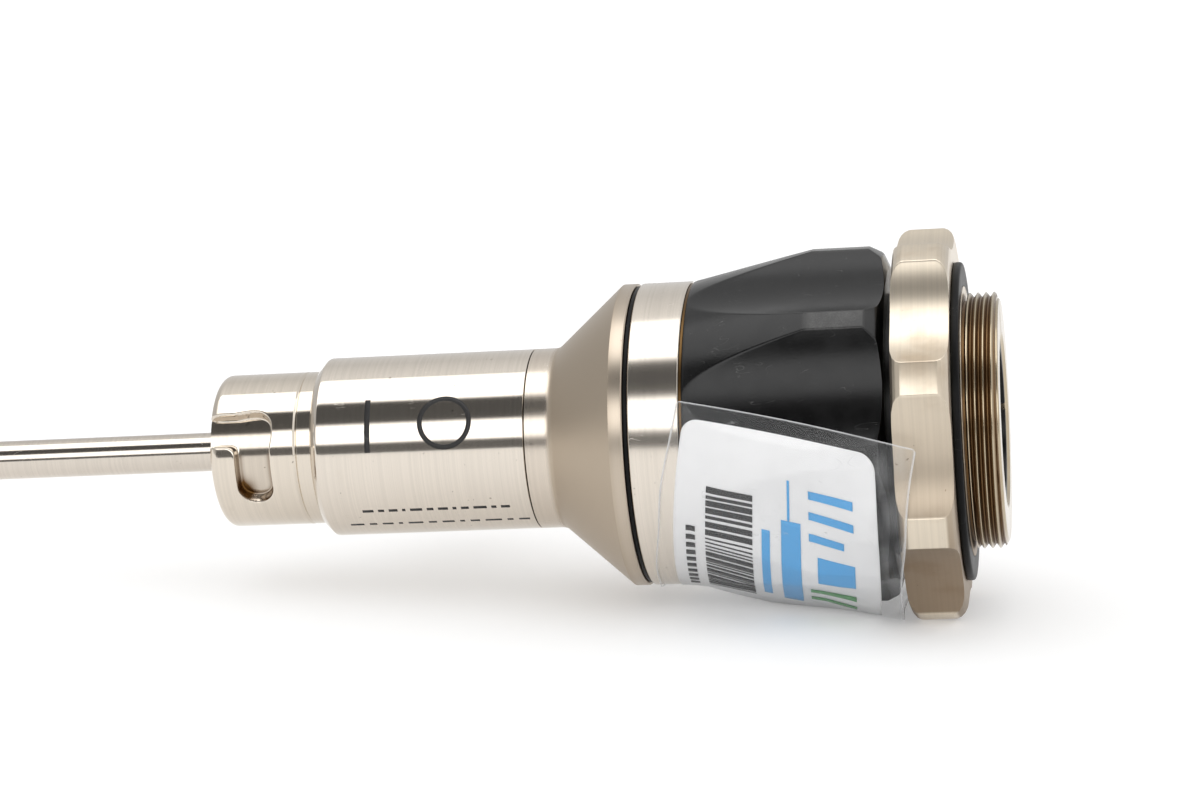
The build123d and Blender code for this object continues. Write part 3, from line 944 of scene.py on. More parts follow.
STEEL = TurnedSteel("turned steel", (0.74, 0.675, 0.595), 0.1, line_depth=0.0009)
LOCK_STEEL = TurnedSteel("lock steel", (0.72, 0.65, 0.56), 0.09, has_grime_and_shade=True, line_depth=0.0006)
CONE_STEEL = TurnedSteel(
    "cone steel", (0.68, 0.605, 0.52), 0.2, line_depth=0.0014, tarnish=0.3, matt=True
)
NUT_STEEL = TurnedSteel(
    "nut steel", (0.73, 0.645, 0.525), 0.3, line_depth=0.0001, tarnish=0.9, has_grime_and_shade=True
)
RING_STEEL = TurnedSteel("ring steel", (0.74, 0.675, 0.595), 0.16, line_depth=0.0009)
THREAD_STEEL = TurnedSteel("thread steel", (0.5, 0.42, 0.3), 0.15, tarnish=0.9, has_grime_and_shade=True)
TUBE_STEEL = TurnedSteel("tube steel", (0.66, 0.6, 0.53), 0.12, line_depth=0.0003, tarnish=0.5)
BRONZE = TurnedSteel("oily bronze", (0.13, 0.075, 0.03), 0.3, tarnish=0.8)
GRIP_BLACK = BlastedBlack("black anodised", (0.0025, 0.0025, 0.0027), 0.2, shine=0.38, rubbed=True)
CELL_BLACK = BlastedBlack("black cell", (0.0035, 0.0034, 0.0037), 0.3, shine=0.3)
RUBBER_BLACK = BlastedBlack("black rubber", (0.003, 0.003, 0.0034), 0.38, shine=0.16)
ENAMEL = BlastedBlack("etched black", (0.014, 0.013, 0.013), 0.42)
GLASS = ClearGlass("optical glass", (0.93, 0.96, 0.97), 0.02)
PAPER = PrintedPaper("label paper", (0.93, 0.93, 0.935), 0.42)
INK_BLACK = PrintedPaper("label black", (0.01, 0.01, 0.011), 0.45)
INK_BLUE = PrintedPaper("label blue", (0.085, 0.42, 0.83), 0.45)
INK_GREEN = PrintedPaper("label green", (0.045, 0.31, 0.07), 0.45)
FILM = ClearFilm("clear film", (0.9, 0.91, 0.92), 0.1)


def dress(
    piece: bpy.types.Object, finish: Finish, body: Body, slot: Slot, *nodes: str
) -> bpy.types.Object:
    """Give a piece its finish and its place in the model.

    Args:
        piece: the piece.
        finish: its finish.
        body: the half it moves with.
        slot: the record's slot for its finish; not used.
        *nodes: the model's nodes that it stands for.

    Returns:
        The piece.
    """
    piece.data.materials.clear()
    piece.data.materials.append(finish.made())
    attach(piece, body.value)
    if nodes:
        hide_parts(*nodes)
    LOG.info("%s: %d faces, on the %s", piece.name, len(piece.data.polygons), body.value)
    return piece


# The telescope, from the tip back


@dataclass(frozen=True)
class ShaftAssembly:
    """Insertion tube with its bevelled tip."""

    tip: float = -240.3
    root: float = -74.9
    radius: float = 2.0
    bore: float = 1.85
    view_angle: float = 30.0
    view_turn: float = 10.0
    halfway: float = -150.0
    bevel_room: float = 4.0
    lip: float = 0.04

    def build(self, scope: Spindle) -> None:
        """Tube whose end rows follow the bevel.

        A wall point of radius r at a turn meets the bevel at the tip plus the tangent of
        the view angle times the tube's radius plus r times the cosine of the turn from the
        view. Each row is a blend of that station and a plain one; it has its plain station,
        the bevel's share, its radius and how far it lies behind the bevel.

        Args:
            scope: the instrument's axis.
        """
        turns = np.linspace(0, 360, 96, endpoint=False)[None]
        rows = np.array(
            [
                (self.root, 0, self.radius, 0),
                (self.halfway, 0, self.radius, 0),
                (self.tip + self.bevel_room, 0, self.radius, 0),
                (0, 1, self.radius, self.lip),
                (0, 1, self.radius - 0.012, 0.01),
                (0, 1, self.radius - self.lip, 0),
                (0, 1, self.bore + self.lip / 2, 0),
                (0, 1, self.bore, self.lip / 2),
                (self.tip + self.bevel_room, 0, self.bore, 0),
                (self.halfway, 0, self.bore, 0),
                (self.root, 0, self.bore, 0),
            ]
        )
        plain, share, radius, inset = rows.T[:, :, None]
        lean = np.cos(np.radians(turns - self.view_turn))
        bevel = self.tip + np.tan(np.radians(self.view_angle)) * (self.radius + radius * lean)
        bevel = bevel + inset
        station = plain * (1 - share) + bevel * share
        tube = skin("insertion_shaft", scope.place(station, radius, turns), True, True)
        dress(tube, TUBE_STEEL, Body.TELESCOPE, Slot.TUBE, "insertion_tube")


@dataclass(frozen=True)
class SheathLock:
    """Boss with the J-shaped bayonet slot that takes the sheath's pin.

    The entry lies between two turns and is open at the boss's front; the leg lies an inset
    behind the front and ends at the end turn.
    """

    front: float = -75.3
    rear: float = -64.5
    radius: float = 7.8
    edge: float = 1.0
    bore: float = 2.02
    floor: float = 6.7
    entry: tuple[float, float] = (13.3, 38.0)
    leg_inset: float = 2.7
    width: float = 3.6
    end_turn: float = -32.5
    outer_corner: float = 1.3
    inner_corner: float = 0.5
    rim: float = 0.17
    wall: float = 0.12
    entry_half: float = 12.0
    slot_run: float = 7.0
    slot_margin: float = 5.0
    groove: float = -66.3
    groove_half: float = 0.2
    groove_depth: float = 0.16
    blunt: float = 0.05
    fine_step: float = 0.06
    fine_turn: float = 0.42

    def clearance(self, station: np.ndarray, turn: np.ndarray) -> np.ndarray:
        """Distance to the slot's outline on the unrolled boss, negative inside it.

        The entry is a box with rounded rear corners, the leg a stadium: the distance to
        its middle line less half its width. The lesser of the two is rounded where they
        meet, which leaves the inner corner's radius.

        Args:
            station: along the axis.
            turn: round it.

        Returns:
            The distance in millimetres.
        """
        arc = np.radians(turn) * self.radius
        left, right = np.radians(self.entry) * self.radius
        leg_rear = self.front + self.leg_inset + self.width
        middle, half = leg_rear - self.width / 2, self.width / 2
        half_long = self.entry_half - self.outer_corner
        half_wide = (right - left) / 2 - self.outer_corner
        over_long = np.abs(station - (leg_rear - self.entry_half)) - half_long
        over_wide = np.abs(arc - (left + right) / 2) - half_wide
        outside = np.hypot(np.maximum(over_long, 0), np.maximum(over_wide, 0))
        inside = np.minimum(np.maximum(over_long, over_wide), 0)
        entry = outside + inside - self.outer_corner
        end = np.radians(self.end_turn) * self.radius + half
        nearest = np.clip(arc, end, right - half)
        leg = np.hypot(station - middle, arc - nearest) - half
        return round_off(entry, leg, self.inner_corner * 2)

    def sunk(self, gap: np.ndarray) -> np.ndarray:
        """Depth of the slot at a distance from its outline.

        Outside, a quarter circle of the rim's radius leads over the edge; then the wall
        drops evenly over its width; inside, a second quarter circle meets the floor.

        Args:
            gap: distance from the outline, negative inside.

        Returns:
            The depth in millimetres.
        """
        depth = self.radius - self.floor
        over = np.clip(self.rim - gap, 0, self.rim)
        top = self.rim - np.sqrt(self.rim**2 - over**2)
        down = np.clip(-gap / self.wall, 0, 1) * (depth - 2 * self.rim)
        into = np.clip(-gap - self.wall, 0, self.rim)
        foot = np.sqrt(self.rim**2 - (self.rim - into) ** 2)
        return np.where(gap > 0, top, self.rim + down + foot)

    def build(self, scope: Spindle) -> None:
        """Turned boss, its rows and columns fine round the slot, sunk by the slot's depth.

        Args:
            scope: the instrument's axis.
        """
        corners = [
            (self.front, self.bore, 0.0),
            (self.front, self.radius, self.edge),
            (self.groove - self.groove_half, self.radius, self.blunt),
            (self.groove, self.radius - self.groove_depth, self.blunt),
            (self.groove + self.groove_half, self.radius, self.blunt),
            (self.rear, self.radius, 0.0),
            (self.rear, self.bore, 0.0),
        ]
        slot_rear = self.front + self.slot_run
        outline = finely(rounded(corners, 12), self.fine_step, slot_rear, self.floor - 0.3)
        first, last = self.end_turn - self.slot_margin, self.entry[1] + self.slot_margin
        slot_turns = np.arange(first, last, self.fine_turn)
        plain_turns = np.linspace(slot_turns[-1], 360 + slot_turns[0], 112)[1:-1]
        turns = np.concatenate([slot_turns, plain_turns])[None]
        station = np.broadcast_to(outline[:, :1], (len(outline), turns.size))
        depth = self.sunk(self.clearance(station, turns))
        radius = np.broadcast_to(outline[:, 1:], station.shape)
        kept = np.minimum(radius, self.floor)
        sunk = np.where(radius > self.floor, np.maximum(radius - depth, kept), radius)
        sunk = np.where(station < self.rear - 0.3, sunk, radius)
        points = scope.place(station, sunk, turns)
        piece = skin("sheath_lock_boss", points, True, True, CUT_CREASE)
        self.paint_grime_and_shade(piece, scope)
        dress(piece, LOCK_STEEL, Body.TELESCOPE, Slot.STEEL, "sheath_lock")

    def paint_grime_and_shade(self, piece: bpy.types.Object, scope: Spindle) -> None:
        """Paint the brown that gathers at the slot's lower end.

        It is strongest in the corner between wall and floor at the leg's end and fades
        with the distance from there, along the wall more slowly; the slot's floor gets a little
        painted shade.

        Args:
            piece: the boss.
            scope: its axis.
        """
        station, _, turn = around(piece, scope)
        gap = self.clearance(station, turn)
        end = np.radians(self.end_turn) * self.radius + self.width / 2
        arc = np.radians(turn) * self.radius
        middle = self.front + self.leg_inset + self.width / 2
        pool = 1.1 * mound(station - middle + 1.4, 1.0) * mound(arc - end + 0.9, 1.3)
        foot = 0.45 * mound(gap + 0.25, 0.3) * (gap < 0.05) * (arc < 1.0) * (arc > -6)
        # Painted shade: the whole floor of the slot's front part is darkened a little
        painted_floor_shade = 0.16 * (gap < -0.3) * (station < self.front + self.slot_run)
        paint(piece, "grime_and_shade", np.clip(pool * (gap < 0.02) + foot + painted_floor_shade, 0, 1))


@dataclass(frozen=True)
class Barrel:
    """Plain turned housing with its etched index marks.

    A bar has two stations and two turns, a dashed row its first station, its turn, the
    length of its beat and its height in millimetres; the beat is repeated dash by dash.
    """

    front: float = -64.6
    rear: float = -42.6
    radius: float = 9.1
    chamfer: float = 0.8
    bore: float = 6.0
    bar: tuple[float, float, float, float] = (-58.75, -58.2, 5.5, 40.0)
    rows: tuple[tuple[float, ...], ...] = ((-59.9, -37.6, 1.13, 0.36), (-61.6, -51.8, 1.38, 0.34))
    beat: tuple[float, ...] = (1.0, 0.55, 0.8, 0.3, 1.1, 0.6, 0.9, 0.35, 0.7, 1.2, 0.45, 0.8)
    dash_gap: float = 0.42
    ring_place: tuple[float, float] = (-50.6, 23.0)
    ring_radii: tuple[float, float] = (2.25, 2.75)
    proud: float = 0.006
    mark_depth: float = 0.02

    def build(self, scope: Spindle) -> None:
        """Turned barrel, then flat etched marks that follow its curve.

        Args:
            scope: the instrument's axis.
        """
        corners = [
            (self.front, self.bore, 0.0),
            (self.front, self.radius - self.chamfer, 0.12),
            (self.front + self.chamfer, self.radius, 0.35),
            (self.rear - 0.1, self.radius, 0.02),
            (self.rear - 0.05, self.radius - 0.05, 0.0),
            (self.rear - 0.05, self.bore, 0.0),
        ]
        piece = turned("barrel_housing", scope, finely(rounded(corners), 2.0), segments=256)
        dress(piece, STEEL, Body.TELESCOPE, Slot.STEEL, "body_barrel")
        dress(self.marks(scope), ENAMEL, Body.TELESCOPE, Slot.BLACK)

    def marks(self, scope: Spindle) -> bpy.types.Object:
        """Plain index ring, index bars and rows of short dashes.

        Every mark is a strip between two stations and two turns, or a ring on the
        unrolled barrel; all are bent round the barrel and stand a little proud of it.

        Args:
            scope: the barrel's axis.

        Returns:
            One piece that holds all marks.
        """
        to_turn = np.degrees(1 / self.radius)
        radius = self.radius + self.proud
        bars = [self.bar]
        beat = np.array(self.beat)
        stops = np.cumsum(np.stack([beat, np.full(beat.size, self.dash_gap)], 1).ravel())
        for begin, turn, scale, height in self.rows:
            starts = begin + scale * (stops[0::2] - beat)
            ends = begin + scale * stops[0::2]
            bars += [(a, b, turn, turn + height * to_turn) for a, b in zip(starts, ends)]
        start, stop, low, high = np.array(bars).T[:, :, None, None]
        across, up = np.meshgrid(np.linspace(0, 1, 2), np.linspace(0, 1, 33), indexing="ij")
        strips = scope.place(start + (stop - start) * across, radius, low + (high - low) * up)
        angle = np.linspace(0, 2 * np.pi, 73)[None]
        reach = np.array(self.ring_radii)[:, None]
        station, turn = self.ring_place
        ring = scope.place(
            station + reach * np.cos(angle), radius, turn + to_turn * reach * np.sin(angle)
        )
        parts = [
            skin(f"mark_{k}", grid, False, False, SHEET_CREASE)
            for k, grid in enumerate([*strips, ring])
        ]
        return joined("index_marks", parts, self.mark_depth)


def joined(name: str, parts: list[bpy.types.Object], thickness: float) -> bpy.types.Object:
    """Make several thin sheets one piece.

    Args:
        name: the piece's name.
        parts: the sheets.
        thickness: the wall that they get, in millimetres.

    Returns:
        The piece.
    """
    work = bmesh.new()
    for part in parts:
        work.from_mesh(part.data)
        bpy.data.objects.remove(part)
    mesh = bpy.data.meshes.new(name)
    work.to_mesh(mesh)
    work.free()
    piece = settled(name, mesh, CUT_CREASE)
    solid = piece.modifiers.new("wall", "SOLIDIFY")
    solid.thickness = thickness * MM
    solid.offset = -1.0
    return piece


@dataclass(frozen=True)
class LightPost:
    """Post behind the barrel that takes the light cable, in stations along its own axis."""

    station: float = -54.0
    turn: float = 190.0
    root: float = 6.95
    flange_seat: float = 7.82
    flange_top: float = 11.6
    body_start: float = 12.8
    body_end: float = 20.8
    reach: float = 27.5
    bore: float = 1.42
    stem: float = 3.4
    flange: float = 4.5
    waist: float = 3.0
    body: float = 3.9
    nose: float = 3.2
    step: float = 0.5
    window: float = 1.9
    window_depth: float = 0.8

    def build(self, scope: Spindle) -> None:
        """Stepped post turned about its own axis, with the groove that the cable's catch takes.

        Args:
            scope: the instrument's axis.
        """
        groove, step = self.body_end - 3 * self.step, self.step
        corners = [
            (self.root, self.bore, 0.0),
            (self.root, self.stem, 0.0),
            (self.flange_seat, self.stem, 0.0),
            (self.flange_seat, self.flange, 0.0),
            (self.flange_top, self.flange, 0.25),
            (self.flange_top, self.waist, 0.1),
            (self.body_start, self.waist, 0.1),
            (self.body_start, self.body, 0.12),
            (groove - step, self.body, 0.08),
            (groove, self.body - step, 0.1),
            (groove + step, self.body, 0.08),
            (self.body_end - step, self.body, 0.15),
            (self.body_end, self.body - step, 0.1),
            (self.body_end, self.nose, 0.05),
            (self.reach - step, self.nose, 0.15),
            (self.reach, self.nose - step, 0.12),
            (self.reach, self.window, 0.08),
            (self.reach - self.window_depth, self.window, 0.0),
            (self.reach - self.window_depth, self.bore, 0.0),
        ]
        axis = scope.branch(self.station, self.turn)
        piece = turned("light_post_plug", axis, rounded(corners), segments=128)
        dress(piece, STEEL, Body.TELESCOPE, Slot.STEEL, "light_post")


@dataclass(frozen=True)
class ConeHousing:
    """Collar, cone and rim, with the journal that turns in the coupler."""

    front: float = -42.6
    foot: float = -40.0
    top: float = -33.1
    rear: float = -31.73
    collar: float = 9.1
    rim: float = 15.2
    rim_shine: float = 0.3
    bore: float = 6.3
    journal: float = 10.5
    journal_rear: float = -22.2
    journal_bore: float = 8.5

    def build(self, scope: Spindle) -> None:
        """Turned housing: the cone blends into its collar with a hollow curve.

        It is blasted behind its collar, and a little less matt on its rim.

        Args:
            scope: the instrument's axis.
        """
        corners = [
            (self.front + 0.05, self.bore, 0.0),
            (self.front + 0.05, self.collar - 0.05, 0.0),
            (self.front + 0.1, self.collar, 0.02),
            (self.foot, self.collar, 1.2),
            (self.top, self.rim, 0.12),
            (self.rear - 0.12, self.rim, 0.06),
            (self.rear, self.rim - 0.12, 0.04),
            (self.rear, self.journal, 0.0),
            (self.journal_rear, self.journal, 0.1),
            (self.journal_rear, self.journal_bore, 0.0),
            (self.foot, self.bore, 0.0),
        ]
        piece = turned("cone_and_rim", scope, finely(rounded(corners, 10), 0.6), segments=256)
        station, radius, _ = around(piece, scope)
        matt = np.clip((station - self.foot + 0.5) / 0.5, 0, 1)
        matt *= 1 - self.rim_shine * np.clip((station - self.top) / 0.15, 0, 1)
        paint(piece, "matt", matt * (radius > self.collar - 0.05))
        dress(piece, CONE_STEEL, Body.TELESCOPE, Slot.STEEL, "cone_housing")


# The coupler, from the front ring back


@dataclass(frozen=True)
class SwivelSeam:
    """Black seal, front ring and bronze washer between the cone and the grip."""

    seal: tuple[float, float] = (-31.7, -31.24)
    ring: tuple[float, float] = (-31.22, -26.22)
    washer: tuple[float, float] = (-26.2, -25.92)
    radius: float = 15.2
    bore: float = 13.02
    seal_radius: float = 14.95
    seal_bore: float = 12.75
    washer_radius: float = 14.98

    @staticmethod
    def band(ends: tuple[float, float], bore: float, radius: float, fillet: float) -> np.ndarray:
        """Outline of a plain ring with rounded outer corners.

        Args:
            ends: its two stations.
            bore: its inner radius.
            radius: its outer radius.
            fillet: the corners' radius.

        Returns:
            Stations and radii.
        """
        front, rear = ends
        return rounded(
            [(front, bore, 0), (front, radius, fillet), (rear, radius, fillet), (rear, bore, 0)]
        )

    def build(self, scope: Spindle) -> None:
        """Three turned rings side by side.

        Args:
            scope: the instrument's axis.
        """
        outline = self.band(self.seal, self.seal_bore, self.seal_radius, 0.15)
        seal = turned("swivel_seal", scope, outline)
        dress(seal, RUBBER_BLACK, Body.COUPLER, Slot.RUBBER, "rotation_seal")
        front, rear = self.ring
        corners = [
            (front, self.bore, 0),
            (front, self.radius - 0.12, 0.04),
            (front + 0.12, self.radius, 0.08),
            (rear - 0.1, self.radius, 0.05),
            (rear, self.radius - 0.1, 0.03),
            (rear, self.bore, 0),
        ]
        ring = turned("front_ring_band", scope, rounded(corners), segments=256)
        dress(ring, RING_STEEL, Body.COUPLER, Slot.STEEL, "front_ring")
        outline = self.band(self.washer, self.bore, self.washer_radius, 0.05)
        washer = turned("bronze_washer", scope, outline)
        dress(washer, BRONZE, Body.COUPLER, Slot.BRONZE, "glide_washer")


@dataclass(frozen=True)
class FocusGrip:
    """Black sleeve: a cone and a land with eight long hollows for the fingers."""

    front: float = -25.88
    land: float = -13.8
    rear: float = -6.4
    small: float = 15.2
    large: float = 17.85
    bore: float = 13.05
    shoulder_run: float = 1.8
    shoulder_fall: float = 0.75
    end_run: float = 0.5
    end_fall: float = 2.3
    wear: float = 0.75
    wear_depth: float = 0.12
    hollows: Scallops = Scallops(
        17.85, 15.8, 19.3, HALF_PITCH, edge=0.09, dip=0.6, dip_run=(-25.88, -13.8)
    )

    def build(self, scope: Spindle) -> None:
        """Outline first, then the hollows cut into it.

        The lands between the hollows are rubbed from the cone's end to the rear.

        Args:
            scope: the instrument's axis.
        """
        corners = [
            (self.front, self.bore, 0),
            (self.front, self.small, 0.1),
            (self.land, self.large, 0.6),
            (self.rear - self.shoulder_run, self.large, 0.08),
            (self.rear - self.end_run, self.large - self.shoulder_fall, 0.7),
            (self.rear, self.large - self.end_fall, 0.2),
            (self.rear, self.bore, 0),
        ]
        piece = self.hollows.cut("focus_grip_sleeve", scope, finely(rounded(corners, 8), 0.22))
        station, radius, _ = around(piece, scope)
        crest = np.clip((radius - self.large + self.wear_depth) / self.wear_depth, 0, 1)
        behind = np.clip((station - self.land + 0.4) / 1.2, 0, 1)
        paint(piece, "wear", self.wear * crest * behind)
        dress(piece, GRIP_BLACK, Body.COUPLER, Slot.BLACK, "focus_grip")


@dataclass(frozen=True)
class CameraMount:
    """Scalloped nut, camera thread, gasket and rear window.

    Gasket, window and its ring each have their two stations and their radii.
    """

    nut_front: float = -5.6
    nut_radius: float = 19.6
    nut_edge: float = 1.25
    nut_fall: float = 1.75
    thread: tuple[float, float] = (1.2, 3.95)
    thread_radius: float = 12.7
    thread_depth: float = 0.43
    pitch: float = 0.79375
    thread_undercut: float = 11.9
    thread_lead: float = 12.2
    end: float = 4.3
    gasket: tuple[float, float] = (0.02, 0.8)
    gasket_radii: tuple[float, float] = (13.42, 15.8)
    window: tuple[float, float] = (1.83, 3.0)
    window_radius: float = 8.4
    retainer: tuple[float, float] = (3.02, 4.02)
    retainer_radii: tuple[float, float] = (7.4, 8.38)
    spanner_half: float = 2.7
    spanner_floor: float = 3.52
    hollows: Scallops = Scallops(19.6, 17.3, 17.7, 0.0, edge=0.09)

    def build(self, scope: Spindle) -> None:
        """Nut, thread, gasket, window and its ring, from the front to the rear.

        Args:
            scope: the instrument's axis.
        """
        self.build_nut(scope)
        self.build_thread(scope)
        (front, rear), (bore, radius) = self.gasket, self.gasket_radii
        corners = [(front, bore, 0), (front, radius, 0.2), (rear, radius, 0.3), (rear, bore, 0.1)]
        gasket = turned("camera_gasket", scope, rounded(corners), segments=192)
        dress(gasket, RUBBER_BLACK, Body.COUPLER, Slot.RUBBER, "mount_gasket")
        (front, rear), radius = self.window, self.window_radius
        corners = [(front, 0, 0), (front, radius, 0.05), (rear, radius, 0.05), (rear, 0, 0)]
        glass = turned("rear_glass", scope, rounded(corners), segments=128)
        dress(glass, GLASS, Body.COUPLER, Slot.GLASS, "rear_window")
        self.build_retainer(scope)

    def build_nut(self, scope: Spindle) -> None:
        """Nut with an elliptic edge at each face and eight hollows right through.

        From the face to the crest the station runs as one less the cosine and the radius
        as the sine of an angle that goes from nothing to a right angle. The hollows are
        painted brown, more towards the bottom: partly patina, partly painted shade.

        Args:
            scope: the instrument's axis.
        """
        lean = np.radians([0.0, 20.0, 40.0, 60.0, 80.0, 90.0])
        inward = self.nut_edge * (1 - np.cos(lean))
        radius = self.nut_radius - self.nut_fall * (1 - np.sin(lean))
        corners = [
            (self.nut_front, 13.02, 0),
            *((self.nut_front + a, b, 0.3) for a, b in zip(inward, radius)),
            *((-a, b, 0.3) for a, b in zip(inward[::-1], radius[::-1])),
            (0, 13.4, 0.03),
            (0.85, 13.4, 0.05),
            (0.85, 8.4, 0),
            (-2.5, 8.4, 0),
            (-2.5, 13.02, 0),
        ]
        piece = self.hollows.cut("scalloped_nut", scope, finely(rounded(corners, 6), 0.2))
        _, radius, turn = around(piece, scope)
        sunk = np.clip((self.nut_radius - 0.06 - radius) / 0.12, 0, 1)
        # Painted shade with some patina: darker and browner towards the bottom, none at the top
        below = np.clip(0.3 - 0.6 * np.sin(np.radians(turn)), 0, 0.68)
        paint(piece, "grime_and_shade", sunk * below)
        dress(piece, NUT_STEEL, Body.COUPLER, Slot.STEEL, "camera_mount")

    def build_thread(self, scope: Spindle) -> None:
        """Right-hand thread on the spigot.

        The cut deepens evenly from crest to root and back once per pitch, is shifted by
        one pitch a turn, has its crest and root flattened, and fades in and out at its ends.

        Args:
            scope: the instrument's axis.
        """
        start, stop = self.thread
        corners = [
            (0.7, 8.41, 0),
            (0.7, self.thread_undercut, 0),
            (start - 0.1, self.thread_undercut, 0.1),
            (start, self.thread_lead, 0.05),
            (start + 0.05, self.thread_radius, 0.0),
            (stop, self.thread_radius, 0.0),
            (self.end - 0.2, self.thread_lead, 0.1),
            (self.end, self.thread_undercut, 0.1),
            (self.end, 8.8, 0.1),
            (self.end - 0.3, 8.41, 0.05),
        ]
        outline = finely(rounded(corners, 4), 0.035)
        turns = np.linspace(0, 360, 288, endpoint=False)[None]
        station, radius = outline[:, :1], outline[:, 1:]
        phase = np.mod(station / self.pitch - turns / 360, 1.0)
        tooth = np.clip(np.abs(2 * phase - 1) * 1.35 - 0.15, 0, 1)
        fade_in = np.clip((station - start) / 0.35, 0, 1)
        fade_out = np.clip((stop + 0.25 - station) / 0.3, 0, 1)
        outer = (radius > self.thread_undercut + 0.05) & (station > start - 0.05)
        sunk = radius - np.where(outer, tooth * self.thread_depth * fade_in * fade_out, 0)
        points = scope.place(station, sunk, turns)
        piece = skin("camera_thread_spigot", points, True, True, THREAD_CREASE)
        along, reach, _ = around(piece, scope)
        cut = (along < stop + 0.1) & (reach > 11.5)
        # Painted shade: the thread's grooves are painted dark brown
        paint(piece, "grime_and_shade", 0.9 * cut * np.clip((12.66 - reach) / 0.24, 0, 1))
        dress(piece, THREAD_STEEL, Body.COUPLER, Slot.STEEL)

    def build_retainer(self, scope: Spindle) -> None:
        """Black ring over the window with two slots for a spanner.

        Columns stand close at the slots' sides; the rear rows sink where the turn lies
        within a slot.

        Args:
            scope: the instrument's axis.
        """
        (front, rear), (bore, radius) = self.retainer, self.retainer_radii
        outline = rounded(
            [(front, bore, 0), (front, radius, 0), (rear, radius, 0.08), (rear, bore, 0.08)]
        )
        sides = np.array([0, 180])[:, None] + np.array([-2.75, -2.65, 2.65, 2.75])[None]
        turns = np.concatenate([np.linspace(0, 360, 120, endpoint=False), sides.ravel()])
        turns = np.unique(np.mod(turns, 360))
        lean = np.abs(np.mod(turns + 90, 180) - 90)
        floor = np.where(lean < self.spanner_half, self.spanner_floor, rear)[None]
        station = np.minimum(outline[:, :1], floor)
        piece = skin("window_ring", scope.place(station, outline[:, 1:], turns[None]), True, True)
        dress(piece, CELL_BLACK, Body.COUPLER, Slot.BLACK, "window_retainer")


Edge = tuple[tuple[float, float], ...]


